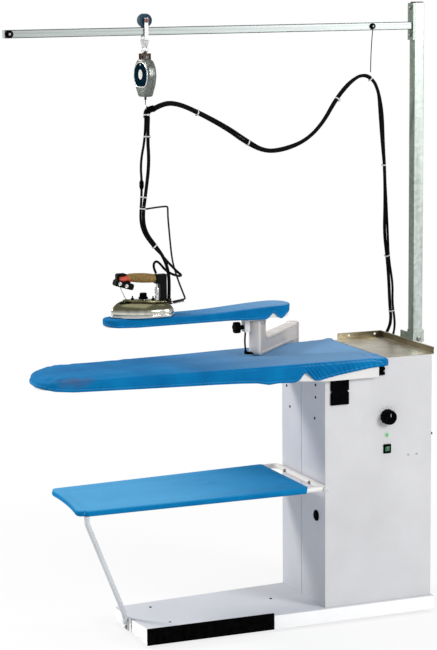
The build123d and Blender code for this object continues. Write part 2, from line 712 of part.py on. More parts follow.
# Stops on the rail: a rubber disc at the free end and a smaller one that holds the hose strap
strap_x = 363
with BuildPart() as rail_stops:
    rod(12.5, (-867, rail_y - rail_size / 2, 1929), (-867, rail_y - rail_size / 2 - 8, 1929))
    rod(4.5, (-867, rail_y - rail_size / 2 - 8, 1929), (-867, rail_y - rail_size / 2 - 10, 1929))
    rod(9.5, (strap_x, rail_y - rail_size / 2, 1935), (strap_x, rail_y - rail_size / 2 - 6, 1935))
rail_stops.part.label = "rail_stops"
export_step(rail_stops.part, "parts/rail_stops.step")

# Thin strap cord from the stop down to the hose bundle
strap_size = 3
strap_points = [(strap_x, rail_y - rail_size / 2 - 3, 1925.2), (361, 8, 1868), (365, 18, 1786.2)]
with BuildPart() as hose_strap:
    with BuildLine() as strap_line:
        cord_route(strap_points)
    sweep(cord_section(strap_points, strap_size), path=strap_line.wires()[0])
hose_strap.part.label = "hose_strap"
export_step(hose_strap.part, "parts/hose_strap.step")
cord_report("hose_strap", hose_strap.part, strap_points, strap_size, strap_line.wires()[0].length)

# Trolley: strap plates either side of the rail, an axle above, and a swivel block with a ring below
trolley_x = -422
wheel_radius = 21
wheel_z = rail_right_z + rail_size / 2 - rail_droop * (rail_right - trolley_x) + wheel_radius + 0.2
axle_radius = 4
with BuildPart() as trolley_frame:
    for plate_y in (rail_y - 18, rail_y + 15):
        block(trolley_x - 6.5, trolley_x + 6.5, plate_y, plate_y + 3, 1903, wheel_z + 8)
    block(trolley_x - 6.5, trolley_x + 6.5, rail_y - 18, rail_y + 18, 1903, 1908)
    rod(axle_radius, (trolley_x, rail_y - 20, wheel_z), (trolley_x, rail_y + 20, wheel_z))
    rod(7, (trolley_x, rail_y - 21, wheel_z), (trolley_x, rail_y - 18, wheel_z))
    with BuildSketch(Plane.XY.offset(1882)) as swivel_low:
        with Locations((trolley_x, rail_y)):
            RectangleRounded(15, 15, 3)
    with BuildSketch(Plane.XY.offset(1904)) as swivel_high:
        with Locations((trolley_x, rail_y)):
            RectangleRounded(25, 25, 3)
    loft([swivel_low.sketch, swivel_high.sketch])
    with Locations(Plane(origin=(trolley_x, rail_y, 1873.7), z_dir=(0, 1, 0))):
        Torus(10, 2.4)
trolley_frame.part.label = "trolley_frame"
export_step(trolley_frame.part, "parts/trolley_frame.step")

with BuildPart() as trolley_wheel:
    with BuildSketch(Plane.YZ.offset(trolley_x)):
        with BuildLine():
            Polyline(
                (rail_y - 14, wheel_z + axle_radius + running_gap),
                (rail_y + 14, wheel_z + axle_radius + running_gap),
                (rail_y + 14, wheel_z + wheel_radius - 2),
                (rail_y + 11, wheel_z + wheel_radius),
                (rail_y - 11, wheel_z + wheel_radius),
                (rail_y - 14, wheel_z + wheel_radius - 2),
                close=True,
            )
        make_face()
    revolve(axis=Axis((trolley_x, rail_y, wheel_z), (0, 1, 0)))
trolley_wheel.part.label = "trolley_wheel"
export_step(trolley_wheel.part, "parts/trolley_wheel.step")

# Spring balancer: cast shield-shaped drum housing, turned 13 degrees from the rail
balancer_plane = Plane(origin=(trolley_x, rail_y, 1797), x_dir=(0.222, -0.975, 0), z_dir=(-0.975, -0.222, 0))
balancer_depth = 32
with BuildPart() as balancer_body:
    with BuildSketch(balancer_plane):
        with BuildLine() as shield:
            Line((0, 64), (-12, 64))
            Spline((-12, 64), (-25, 47), (-41, 20), (-44, -4), (-38, -32), (-26, -56), (-13, -70))
            Line((-13, -70), (0, -70))
            mirror(about=Plane.YZ)
        make_face()
    extrude(amount=balancer_depth / 2, both=True)
    fillet(balancer_body.faces().sort_by(Axis.X)[0].edges(), 4)
    fillet(balancer_body.faces().sort_by(Axis.X)[-1].edges(), 4)
balancer_body.part.label = "balancer_body"
export_step(balancer_body.part, "parts/balancer_body.step")

with BuildPart() as balancer_face:
    with BuildSketch(balancer_plane.offset(balancer_depth / 2)):
        Circle(36)
    extrude(amount=1.6)
    with BuildSketch(balancer_plane.offset(balancer_depth / 2 + 1.6)):
        Ellipse(6.5, 14)
    extrude(amount=0.8)
balancer_face.part.label = "balancer_face"
export_step(balancer_face.part, "parts/balancer_face.step")

# Steel wire of the balancer with its stop bead
with BuildPart() as balancer_wire:
    rod(3.5, (trolley_x, rail_y, 1727), (trolley_x, rail_y, 1718))
    rod(1.3, (trolley_x, rail_y, 1720), (trolley_x, rail_y, 1702))
balancer_wire.part.label = "balancer_wire"
export_step(balancer_wire.part, "parts/balancer_wire.step")

# Rubber clamp at the end of the wire, in which the steam hose and the iron's cable are held
clamp_right = -402
clamp_low_z = 1664
with BuildPart() as hose_clamp:
    block(-434, clamp_right, rail_y - 14, rail_y + 16, clamp_low_z, 1702)
    fillet(hose_clamp.edges().filter_by(Axis.Y), 5)
hose_clamp.part.label = "hose_clamp"
export_step(hose_clamp.part, "parts/hose_clamp.step")

# Garment shelf frame: one bent tube along the cabinet, round the back, left and front
shelf_z = 460
tube_x = cabinet_left - tube_size / 2
frame_front = -178
frame_points = [(tube_x, -190, shelf_z), (tube_x, 201, shelf_z), (-700, 142, shelf_z), (-716, frame_front, shelf_z),
                (tube_x - tube_size / 2, frame_front, shelf_z)]
with BuildPart() as shelf_frame:
    with BuildLine() as frame_line:
        FilletPolyline(*frame_points, radius=22)
    with BuildSketch(Plane(origin=frame_points[0], z_dir=(0, 1, 0))):
        Circle(tube_size / 2)
    sweep(path=frame_line.wires()[0])
shelf_frame.part.label = "shelf_frame"
export_step(shelf_frame.part, "parts/shelf_frame.step")

# Garment cloth: blue fabric stretched over the frame, hemmed round the front and back tubes
cloth_thickness = 1.6
cloth_right = 48
hem_inner = tube_size / 2 + soft_gap
hem_outer = hem_inner + cloth_thickness
cloth_top = shelf_z + hem_outer
with BuildPart() as shelf_cloth:
    with BuildSketch(Plane.XY.offset(cloth_top - cloth_thickness)):
        with BuildLine():
            Line((cloth_right, frame_front), (cloth_right, 196.7))
            Line((cloth_right, 196.7), (-690, 142.6))
            ThreePointArc((-690, 142.6), (-716, 132), (-719, 110))
            ThreePointArc((-719, 110), (-719, 10), (-735, -150))
            ThreePointArc((-735, -150), (-732, -170), (-714, frame_front))
            Line((-714, frame_front), (cloth_right, frame_front))
        make_face()
    extrude(amount=cloth_thickness)
    hems = (((-690, frame_front), (cloth_right, frame_front)), ((-660, 144.8), (cloth_right, 196.7)))
    for hem_start, hem_end in hems:
        rod(hem_outer, (*hem_start, shelf_z), (*hem_end, shelf_z))
    for hem_start, hem_end in hems:
        along = (Vector(*hem_end) - Vector(*hem_start)).normalized() * 5
        rod(hem_inner, (hem_start[0] - along.X, hem_start[1] - along.Y, shelf_z),
            (hem_end[0] + along.X, hem_end[1] + along.Y, shelf_z), mode=Mode.SUBTRACT)
shelf_cloth.part.label = "shelf_cloth"
export_step(shelf_cloth.part, "parts/shelf_cloth.step")

# Leg of the shelf, from its front left corner to the side of the base
leg_size = 17
leg_x = base_left - leg_size / 2
leg_top = shelf_z - tube_size / 2 - 0.3
leg_points = [(-705, frame_front, leg_top), (-705, frame_front, leg_top - 24), (-532, -14, 84), (leg_x, 5, 52),
              (leg_x, 5, 34)]
with BuildPart() as shelf_leg:
    with BuildLine() as leg_line:
        FilletPolyline(*leg_points, radius=[9, 16, 16])
    with BuildSketch(Plane(origin=leg_points[0], z_dir=Vector(*leg_points[1]) - Vector(*leg_points[0]))):
        Circle(leg_size / 2)
    sweep(path=leg_line.wires()[0])
    block(base_left - 5, base_left, -5, 15, 13, 44)
shelf_leg.part.label = "shelf_leg"
export_step(shelf_leg.part, "parts/shelf_leg.step")

# Domed screws of the base and of the side panels, one fastener
with BuildPart() as pan_screws:
    for point in ((-404, 78, base_top), (-407, -107, base_top), (-3, 10, base_top)):
        pan_screw(point, (0, 0, 1))
    for screw_y, screw_z in ((139, 745), (113, 678), (-90, 744), (-90, 785), (-83, 674)):
        pan_screw((cabinet_left, screw_y, screw_z), (-1, 0, 0))
pan_screws.part.label = "pan_screws"
export_step(pan_screws.part, "parts/pan_screws.step")

# Hexagon bolts of the post, the rail, the shelf and its leg
with BuildPart() as frame_bolts:
    for bolt_z in (1905, 1993):
        hex_bolt((508, rail_y, bolt_z), (-1, 0, 0))
    for bolt_z in (525, 896):
        hex_bolt((post_left, 62, bolt_z), (1, 0, 0))
        hex_bolt((post_left + 20, post_front - 4, bolt_z), (0, -1, 0))
    for bolt_y in (116, -79):
        hex_bolt((tube_x - tube_size / 2, bolt_y, shelf_z), (-1, 0, 0), across=10, height=5)
    hex_bolt((base_left - 5, 5, 23), (-1, 0, 0), across=10, height=5)
frame_bolts.part.label = "frame_bolts"
export_step(frame_bolts.part, "parts/frame_bolts.step")

# Iron: sole with its point at -X and a cast body on it
iron_y = -36
iron_left = -569
iron_right = -361
iron_half = 52
iron_sole_z = sleeve_left_top + soft_gap
iron_shoulder_z = 1079
iron_plate_z = 1086


def iron_outline(inset):
    """Draws the iron's plan outline, drawn in by an inset."""
    half = iron_half - inset
    with BuildSketch(mode=Mode.PRIVATE) as plan:
        with BuildLine():
            ThreePointArc((iron_left + inset * 1.5, iron_y), (-520 + inset, iron_y + half * 0.72),
                          (-425, iron_y + half))
            Line((-425, iron_y + half), (-395, iron_y + half))
            ThreePointArc((-395, iron_y + half), (-372 - inset * 0.6, iron_y + half * 0.8),
                          (iron_right - inset, iron_y + half * 0.4))
            Line((iron_right - inset, iron_y + half * 0.4), (iron_right - inset, iron_y))
            mirror(about=Plane.XZ.offset(-iron_y))
        make_face()
        fillet(plan.vertices().sort_by(Axis.X)[0], 12)
    return plan.sketch


stub_x = -372
stub_y = -40
with BuildPart() as iron_body:
    with BuildSketch(Plane.XY.offset(iron_sole_z)):
        add(iron_outline(0))
    extrude(amount=9)
    with BuildSketch(Plane.XY.offset(iron_sole_z + 9)) as body_low:
        add(iron_outline(2.5))
    with BuildSketch(Plane.XY.offset(iron_shoulder_z)) as body_high:
        add(iron_outline(9))
    loft([body_low.sketch, body_high.sketch])
    fillet(iron_body.faces().sort_by(Axis.Z)[-1].edges(), 5)
    rod(8, (stub_x, stub_y, 1058), (stub_x, stub_y, 1091))
    rod(5, (-375, stub_y, 1079), (iron_right, stub_y, 1079))
iron_body.part.label = "iron_body"
export_step(iron_body.part, "parts/iron_body.step")

# Top plate of the iron with its two nuts, the stem of the thermostat and the steam valve
thermostat_x = -457
with BuildPart() as iron_top_plate:
    with BuildSketch(Plane.XY.offset(iron_shoulder_z)):
        add(iron_outline(17))
    extrude(amount=iron_plate_z - iron_shoulder_z)
    fillet(iron_top_plate.faces().sort_by(Axis.Z)[-1].edges(), 2)
    rod(8.5, (stub_x, stub_y, 1060), (stub_x, stub_y, 1095), mode=Mode.SUBTRACT)
    for nut_x in (-493, -424):
        rod(5, (nut_x, iron_y, iron_plate_z - 1), (nut_x, iron_y, iron_plate_z + 6))
        rod(2.5, (nut_x, iron_y, iron_plate_z), (nut_x, iron_y, iron_plate_z + 14))
    rod(4, (thermostat_x, iron_y, iron_plate_z - 1), (thermostat_x, iron_y, 1112))
    rod(7, (-413.5, iron_y - 8, iron_plate_z - 1), (-413.5, iron_y - 8, 1128))
    rod(9, (-413.5, iron_y - 8, iron_plate_z), (-413.5, iron_y - 8, iron_plate_z + 6))
    rod(3, (-413.5, iron_y - 8, 1128), (-413.5, iron_y - 8, 1142.7))
iron_top_plate.part.label = "iron_top_plate"
export_step(iron_top_plate.part, "parts/iron_top_plate.step")

with BuildPart() as iron_knob:
    rod(15, (thermostat_x, iron_y, 1105), (thermostat_x, iron_y, 1119))
    fillet(iron_knob.faces().sort_by(Axis.Z)[-1].edges(), 3)
    with Locations((thermostat_x, iron_y, 1112)):
        with PolarLocations(17.3, 14):
            Cylinder(3, 20, mode=Mode.SUBTRACT)
    rod(4 + running_gap, (thermostat_x, iron_y, 1100), (thermostat_x, iron_y, 1112.3), mode=Mode.SUBTRACT)
iron_knob.part.label = "iron_knob"
export_step(iron_knob.part, "parts/iron_knob.step")

# Rear post of the iron: carries the handle at one end only
post_left_x = -403
post_right_x = -381
collar_left_x = -418
handle_z = 1159
with BuildPart() as iron_rear_post:
    with BuildSketch(Plane.XZ.offset(-iron_y - 14)):
        with BuildLine():
            Polyline(
                (post_left_x, iron_plate_z),
                (post_right_x, iron_plate_z),
                (post_right_x, 1172),
                (collar_left_x, 1172),
                (collar_left_x, 1143),
                (post_left_x, 1143),
                close=True,
            )
        make_face()
    extrude(amount=28)
    fillet(iron_rear_post.faces().sort_by(Axis.Y)[0].edges(), 3)
    fillet(iron_rear_post.faces().sort_by(Axis.Y)[-1].edges(), 3)
iron_rear_post.part.label = "iron_rear_post"
export_step(iron_rear_post.part, "parts/iron_rear_post.step")

# Handle: turned cork grip, thicker in the middle
handle_left = -543
with BuildPart() as iron_handle:
    with BuildSketch(Plane.XZ.offset(-iron_y)):
        with BuildLine():
            Line((handle_left, handle_z), (handle_left, handle_z + 10))
            ThreePointArc((handle_left, handle_z + 10), (-542, handle_z + 12.2), (-540, handle_z + 13))
            Spline((-540, handle_z + 13), (-475, handle_z + 15.2), (-420, handle_z + 14))
            Line((-420, handle_z + 14), (collar_left_x, handle_z + 12.5))
            Polyline((collar_left_x, handle_z + 12.5), (collar_left_x, handle_z), (handle_left, handle_z))
        make_face()
    revolve(axis=Axis((0, iron_y, handle_z), (1, 0, 0)))
    button_x = -530
    rod(6 + running_gap, (button_x, iron_y, handle_z + 2), (button_x, iron_y, handle_z + 20), mode=Mode.SUBTRACT)
iron_handle.part.label = "iron_handle"
export_step(iron_handle.part, "parts/iron_handle.step")

# Steam button: thumb cap on a round stem in the handle's nose
with BuildPart() as iron_steam_button:
    rod(6, (button_x, iron_y, handle_z + 6.5), (button_x, iron_y, handle_z + 18))
    with BuildSketch(Plane.XY.offset(handle_z + 17.5)):
        with Locations((button_x, iron_y)):
            SlotOverall(26, 16)
    extrude(amount=5)
    fillet(iron_steam_button.faces().sort_by(Axis.Z)[-1].edges(), 2)
iron_steam_button.part.label = "iron_steam_button"
export_step(iron_steam_button.part, "parts/iron_steam_button.step")

# Switch block under the handle's nose, tilted down to the rear
with BuildPart() as iron_switch_block:
    with BuildSketch(Plane.XZ.offset(-iron_y - 14)):
        with BuildLine():
            Polyline(
                (-550, 1150),
                (-546, handle_z - 11),
                (-506, handle_z - 13.5),
                (-499, 1143),
                (-503, 1127),
                (-553, 1140),
                close=True,
            )
        make_face()
    extrude(amount=28)
    rod(13.4, (-560, iron_y, handle_z), (-546, iron_y, handle_z))
    rod(15.6, (handle_left, iron_y, handle_z), (-400, iron_y, handle_z), mode=Mode.SUBTRACT)
iron_switch_block.part.label = "iron_switch_block"
export_step(iron_switch_block.part, "parts/iron_switch_block.step")

# Balance rod behind the iron: a short coil on the iron and a long bent wire up to the hose tie
rod_wire = 3
rod_points = [(-360.7, -40, 1079), (-345, -41, 1081), (-322, -40, 1085), (-308, -39.5, 1096), (-312, -39, 1118),
              (-347, -38, 1168), (-354, -34, 1226), (-364, -28, 1284), (-367, -20, 1340), (-366, -14, 1372),
              (-384, -12, 1386), (-408, -14, 1383), (-430, -17, 1374)]
coil_radius = 4.4
coil_pitch = 4.6
coil_turns = 8
with BuildPart() as iron_rod:
    with BuildLine() as rod_line:
        cord_route(rod_points)
    sweep(cord_section(rod_points, rod_wire), path=rod_line.wires()[0])
    with BuildLine() as coil_line:
        Helix(coil_pitch, coil_pitch * coil_turns, coil_radius, center=(-358, -40, 1079.6),
              direction=(43, 0, 6))
    with BuildSketch(Plane(origin=coil_line.line @ 0, z_dir=coil_line.line % 0)):
        Circle(1.3)
    sweep(path=coil_line.wires()[0], is_frenet=True)
    rod(1.3, coil_line.line @ 1, (-320, -40, 1085.4))
iron_rod.part.label = "iron_rod"
export_step(iron_rod.part, "parts/iron_rod.step")
coil_report("iron_rod", coil_line.line, coil_turns, 2.6)

# Steam hose and iron cable from the glands up to the rail's strap and on to the clamp
hose_a_points = [(452, 195.6, 752), (453, 228, 754), (463, 258, 768), (483, 274, 800), (504, 271, 840),
                 (521, 252, 876), (530, 224, 923), (528, 193, 990), (512, 174, 1062), (499, 145, 1150),
                 (480, 131, 1240), (466, 110, 1340), (450, 92, 1440), (436, 71, 1550), (419, 51, 1649),
                 (403, 33, 1716), (378, 21, 1764), (330, 13, 1773), (296, 12, 1744), (245, 12, 1697),
                 (191, 12, 1623), (131, 12, 1568), (51, 13, 1538), (-18, 14, 1539), (-81, 14, 1574),
                 (-148, 12, 1621), (-242, 15, 1672), (-311, 13, 1700), (-362, 12, 1704), (-399, 11, 1683.5)]
cable_a_points = [(480, 195.6, 724), (481, 228, 727), (493, 254, 745), (513, 263, 775), (531, 255, 812),
                  (541, 234, 858), (542, 212, 915), (537, 190, 991), (521, 170, 1062), (508, 142, 1150),
                  (490, 128, 1240), (475, 106, 1340), (461, 91, 1440), (446, 68, 1550), (430, 48, 1651),
                  (412, 28, 1726), (388, 20, 1774), (338, 16, 1789), (290, 16, 1756), (237, 16, 1703),
                  (183, 16, 1629), (125, 16, 1577), (49, 15, 1548), (-15, 14, 1549), (-75, 14, 1584),
                  (-142, 16, 1631), (-238, 13, 1682), (-309, 15, 1710), (-363, 18, 1714), (-399.8, 19, 1695)]
# The same two below the clamp, down to the tie over the iron
hose_c_points = [(-414, 11, clamp_low_z - 0.3), (-416, 11, 1600), (-427, 4, 1525), (-431, -4, 1450), (-440, -8, 1384.3)]
cable_c_points = [(-424, 17, clamp_low_z - 0.4), (-427, 14, 1600), (-437, 8, 1520), (-442, 2, 1450), (-450, -4, 1384.3)]
# The same two from that tie to the iron, the cable with its loop to the right
hose_d_points = [(-440, -8, 1384), (-445.2, -10.3, 1346), (-435, -12, 1301), (-407, -18, 1261), (-384, -26, 1226),
                 (-370, -32, 1183), (-369, -38, 1136), (stub_x, stub_y, 1091.6)]
cable_d_points = [(-450, -4, 1384), (-454.7, -7.6, 1345.3), (-445, -13, 1301), (-420, -26, 1262), (-396, -44, 1233),
                  (-375, -58, 1205), (-351, -60, 1180), (-329, -44, 1165), (-326, -14, 1158), (-343, 4, 1163),
                  (-368, 2, 1179), (-392, -8, 1203), (-412, -18, 1216), (-428, -29, 1210), (-428, -36, 1192),
                  (-413, -37, 1175.2)]
cords = [("steam_hose_a", hose_a_points, hose_size), ("iron_cable_a", cable_a_points, cable_size),
         ("steam_hose_c", hose_c_points, hose_size), ("iron_cable_c", cable_c_points, cable_size),
         ("steam_hose_d", hose_d_points, hose_size), ("iron_cable_d", cable_d_points, cable_size)]
for cord_name, cord_points, cord_size in cords:
    with BuildPart() as cord:
        with BuildLine() as cord_line:
            cord_route(cord_points)
        sweep(cord_section(cord_points, cord_size), path=cord_line.wires()[0])
    cord.part.label = cord_name
    export_step(cord.part, "parts/" + cord_name + ".step")
    cord_report(cord_name, cord.part, cord_points, cord_size, cord_line.wires()[0].length)

# Boiler inside the cabinet: a lying drum on two cradles, with the heater's flange at its left end
boiler_x0 = 180
boiler_x1 = 450
boiler_y = 20
boiler_z = 190
boiler_radius = 80
with BuildPart() as boiler:
    rod(boiler_radius, (boiler_x0, boiler_y, boiler_z), (boiler_x1, boiler_y, boiler_z))
    fillet(boiler.edges().filter_by(GeomType.CIRCLE), 22)
    rod(46, (boiler_x0 - 8, boiler_y, boiler_z), (boiler_x0 + 4, boiler_y, boiler_z))
    for bolt_angle in range(0, 360, 60):
        bolt_dy = 36 * math.cos(math.radians(bolt_angle))
        bolt_dz = 36 * math.sin(math.radians(bolt_angle))
        rod(5, (boiler_x0 - 14, boiler_y + bolt_dy, boiler_z + bolt_dz),
            (boiler_x0, boiler_y + bolt_dy, boiler_z + bolt_dz))
    for cradle_x in (220, 400):
        block(cradle_x, cradle_x + 12, boiler_y - 60, boiler_y + 60, base_top, boiler_z - 40)
    rod(9, (390, boiler_y, boiler_z + boiler_radius - 3), (390, boiler_y, boiler_z + boiler_radius + 26))
boiler.part.label = "boiler"
export_step(boiler.part, "parts/boiler.step")

# Suction fan hung under the shelf, with its motor and the duct up into the board
with BuildPart() as suction_fan:
    rod(84, (duct_x, duct_y, 696), (duct_x, duct_y, 766))
    fillet(suction_fan.edges().filter_by(GeomType.CIRCLE), 8)
    rod(42, (duct_x, duct_y, 596), (duct_x, duct_y, 698))
    rod(duct_radius - 0.3, (duct_x, duct_y, 760), (duct_x, duct_y, shelf_height + 20))
    rod(duct_radius + 14, (duct_x, duct_y, shelf_height - sheet - 4), (duct_x, duct_y, shelf_height - sheet))
    rod(duct_radius - 3, (duct_x, duct_y, 740), (duct_x, duct_y, shelf_height + 30), mode=Mode.SUBTRACT)
suction_fan.part.label = "suction_fan"
export_step(suction_fan.part, "parts/suction_fan.step")
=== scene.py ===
import bmesh
import bpy
import math
from mathutils import Matrix, Vector, noise


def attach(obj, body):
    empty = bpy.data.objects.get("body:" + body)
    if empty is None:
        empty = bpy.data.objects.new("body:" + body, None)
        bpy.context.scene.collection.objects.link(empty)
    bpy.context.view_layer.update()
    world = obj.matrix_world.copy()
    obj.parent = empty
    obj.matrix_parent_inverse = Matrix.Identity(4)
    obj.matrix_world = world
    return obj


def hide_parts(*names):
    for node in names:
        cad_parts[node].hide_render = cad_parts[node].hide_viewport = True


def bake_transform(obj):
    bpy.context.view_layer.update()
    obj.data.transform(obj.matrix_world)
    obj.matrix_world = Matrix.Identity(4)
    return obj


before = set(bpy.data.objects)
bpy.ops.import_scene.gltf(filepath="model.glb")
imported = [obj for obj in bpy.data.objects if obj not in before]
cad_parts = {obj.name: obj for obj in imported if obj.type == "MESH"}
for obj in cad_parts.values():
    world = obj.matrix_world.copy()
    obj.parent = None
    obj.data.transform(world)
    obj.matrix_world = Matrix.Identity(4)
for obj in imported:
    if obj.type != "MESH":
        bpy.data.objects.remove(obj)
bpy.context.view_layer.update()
scene = bpy.context.scene
scene.view_settings.view_transform = "Standard"


# Camera: a long lens a little above the rail, looking down at the ironing table
# from its front left. Its place was found from the corners of the base, the cabinet and the rail.
camera_lens = bpy.data.cameras.new("camera")
camera_lens.sensor_fit = "VERTICAL"
camera_lens.sensor_height = 36
camera_lens.lens = 2183.02 / 650 * camera_lens.sensor_height  # in pixels of the photograph, then in mm
camera_lens.clip_end = 60
camera = bpy.data.objects.new("camera", camera_lens)
scene.collection.objects.link(camera)
view_right = Vector((0.92435874, -0.38143946, -0.00805301))
view_up = Vector((0.0663563, 0.1399467, 0.98793308))
view_back = Vector((-0.37570967, -0.91373894, 0.15467187))
camera.matrix_world = (Matrix.Translation((-2.82713, -6.42211, 2.07694))
                       @ Matrix((view_right, view_up, view_back)).transposed().to_4x4())
scene.camera = camera


# Steam hose and iron cable: two black lines that leave the back of the cabinet side by side, climb past
# the tray to a strap on the rail, sag in one wave and reach the balancer, tied together all the way.
# The hose is 11 mm rubber in a textile braid, the cable 8 mm rubber; both are bought by the metre.
def colour(hex_value):
    """Turns an sRGB hex value to the linear colour of a socket."""
    channels = [int(hex_value[i:i + 2], 16) / 255 for i in (1, 3, 5)]
    return [c / 12.92 if c <= 0.04045 else ((c + 0.055) / 1.055) ** 2.4 for c in channels] + [1]


def node(owner, kind, settings=(), links=()):
    """Adds a node to a material or a tree, sets its inputs and options, and links other nodes to it.

    A kind without a family is a shader node's; a node given as a source stands for its first output."""
    tree = getattr(owner, "node_tree", owner)
    made = tree.nodes.new(kind if "Node" in kind else "ShaderNode" + kind)
    for key, value in dict(settings).items():
        if isinstance(key, int) or key in made.inputs:
            made.inputs[key].default_value = value
        else:
            setattr(made, key, value)
    for key, source in dict(links).items():
        tree.links.new(getattr(source, "outputs", [source])[0], made.inputs[key])
    return made


def finish(name, shade, settings):
    """Starts a material with its surface shader in one colour."""
    material = bpy.data.materials.new(name)
    material.use_nodes = True
    material.node_tree.nodes.clear()
    surface = node(material, "BsdfPrincipled", {"Base Color": colour(shade), **settings})
    node(material, "OutputMaterial", {}, {"Surface": surface})
    return material


def surface_input(material, key):
    """Finds an input of a material's surface shader."""
    return next(n for n in material.node_tree.nodes if n.type == "BSDF_PRINCIPLED").inputs[key]


def ramp_over(material, mask, stops):
    """Adds a ramp of (position, hex value) stops over a mask, and gives its colour."""
    ramp = node(material, "ValToRGB", {}, {"Fac": mask})
    while len(ramp.color_ramp.elements) < len(stops):
        ramp.color_ramp.elements.new(0.5)
    for stop, (spot, tone) in zip(ramp.color_ramp.elements, stops):
        stop.position, stop.color = spot, colour(tone)
    return ramp.outputs["Color"]


def tint(material, low, high, mask, position=(0.35, 0.65)):
    """Colours a surface between two hex values by a mask."""
    shades = ramp_over(material, mask, list(zip(position, (low, high))))
    material.node_tree.links.new(shades, surface_input(material, "Base Color"))
    return shades


def relief(material, height, depth, strength):
    """Raises a surface by a height pattern; depth is in metres."""
    bump = node(material, "Bump", {"Distance": depth, "Strength": strength}, {"Height": height})
    material.node_tree.links.new(bump.outputs[0], surface_input(material, "Normal"))


def shine(material, low, high, mask):
    """Varies a surface's roughness between two values by a mask."""
    rough = node(material, "MapRange", {"To Min": low, "To Max": high}, {"Value": mask})
    material.node_tree.links.new(rough.outputs[0], surface_input(material, "Roughness"))


def recolour(material, mix, mixed_in):
    """Puts a colour mix, with its options and other links, after a surface's colour so far."""
    base = surface_input(material, "Base Color")
    mixed = node(material, "Mix", {"data_type": "RGBA", **mix}, {6: base.links[0].from_socket, **mixed_in})
    material.node_tree.links.new(mixed.outputs[2], base)


def tone_by_facing(material, direction, stops):
    """Multiplies a surface's colour by tones that follow which way its faces look: 0 is against a direction,
    0.5 is beside it and 1 is along it."""
    facing = node(material, "NewGeometry").outputs["Normal"]
    turned_to = node(material, "VectorMath", {"operation": "DOT_PRODUCT", 1: direction}, {0: facing})
    share = node(material, "MapRange", {"From Min": -1.0}, {"Value": turned_to.outputs["Value"]})
    recolour(material, {"blend_type": "MULTIPLY", 0: 1.0}, {7: ramp_over(material, share, stops)})


def texture(material, kind, settings, stretch=None):
    """Adds a texture in the piece's own space, drawn out along its axes where a stretch is given."""
    place = node(material, "TexCoord").outputs["Object"]
    if stretch:
        place = node(material, "Mapping", {"Scale": stretch}, {"Vector": place})
    return node(material, "Tex" + kind, settings, {"Vector": place})


def patterned(name, shade, settings, low, high, pattern, depth=0, strength=1, kind="Noise", position=(0.35, 0.65)):
    """Makes a material whose two near tones, and its relief where it has a depth, follow one texture."""
    material = finish(name, shade, settings)
    mask = texture(material, kind, pattern).outputs["Distance" if kind == "Voronoi" else "Fac"]
    tint(material, low, high, mask, position)
    if depth:
        relief(material, mask, depth, strength)
    return material


# Textile braid over rubber: matt black, with 2 mm diamonds that catch a little light.
# The real braid's yarns are 0.5 mm; they're drawn at 2 mm so that they show.
braided_hose = finish("braided_rubber_hose", "#101011", {"Roughness": 0.75, "Specular IOR Level": 0.03})
around = node(braided_hose, "UVMap", {"uv_map": "along"})
yarns = []
for turn in (0.785, -0.785):
    laid = node(braided_hose, "Mapping", {"Rotation": (0, 0, turn), "Scale": (17, 500, 1)}, {"Vector": around})
    yarns.append(node(braided_hose, "TexWave", {"Scale": 0.35, "Distortion": 0}, {"Vector": laid}).outputs["Fac"])
crossed = node(braided_hose, "Math", {"operation": "MAXIMUM"}, {0: yarns[0], 1: yarns[1]})
tint(braided_hose, "#030303", "#101011", crossed)
relief(braided_hose, crossed, 0.0004, 0.6)

# Extruded rubber cable: smooth, satin black, with faint handling marks along it.
cable_rubber = patterned("extruded_cable_rubber", "#131314", {"Roughness": 0.5, "Specular IOR Level": 0.04},
                         "#040405", "#101011", {"Scale": 90, "Detail": 4}, 0.0002, 0.35)


def route(name, points):
    """Lays a smooth line with the given points, in millimetres, as its control points."""
    line = bpy.data.curves.new(name + "_line", "CURVE")
    line.dimensions = "3D"
    line.resolution_u = 10
    spline = line.splines.new("NURBS")
    spline.points.add(len(points) - 1)
    for point, spot in zip(spline.points, points):
        point.co = (*(Vector(spot) / 1000), 1)
    spline.order_u = 3
    spline.use_endpoint_u = True
    holder = bpy.data.objects.new(name + "_line", line)
    scene.collection.objects.link(holder)
    mesh = bpy.data.meshes.new_from_object(holder)
    path = [v.co.copy() for v in mesh.vertices]
    bpy.data.objects.remove(holder)
    bpy.data.curves.remove(line)
    bpy.data.meshes.remove(mesh)
    return path


def frames_along(path):
    """Gives each point of a line its direction and two sides that don't twist."""
    frames = []
    side = None
    for i, point in enumerate(path):
        ahead = (path[min(i + 1, len(path) - 1)] - path[max(i - 1, 0)]).normalized()
        if side is None:
            side = ahead.orthogonal().normalized()
        side = (side - ahead * side.dot(ahead)).normalized()
        frames.append((point, ahead, side, ahead.cross(side)))
    return frames


def circle(centre, one, other, count, more=0):
    """Gives points round a circle or an oval with two half axes, and more of them past its start."""
    return [centre + math.cos(a) * one + math.sin(a) * other
            for a in (2 * math.pi * k / count for k in range(count + more))]


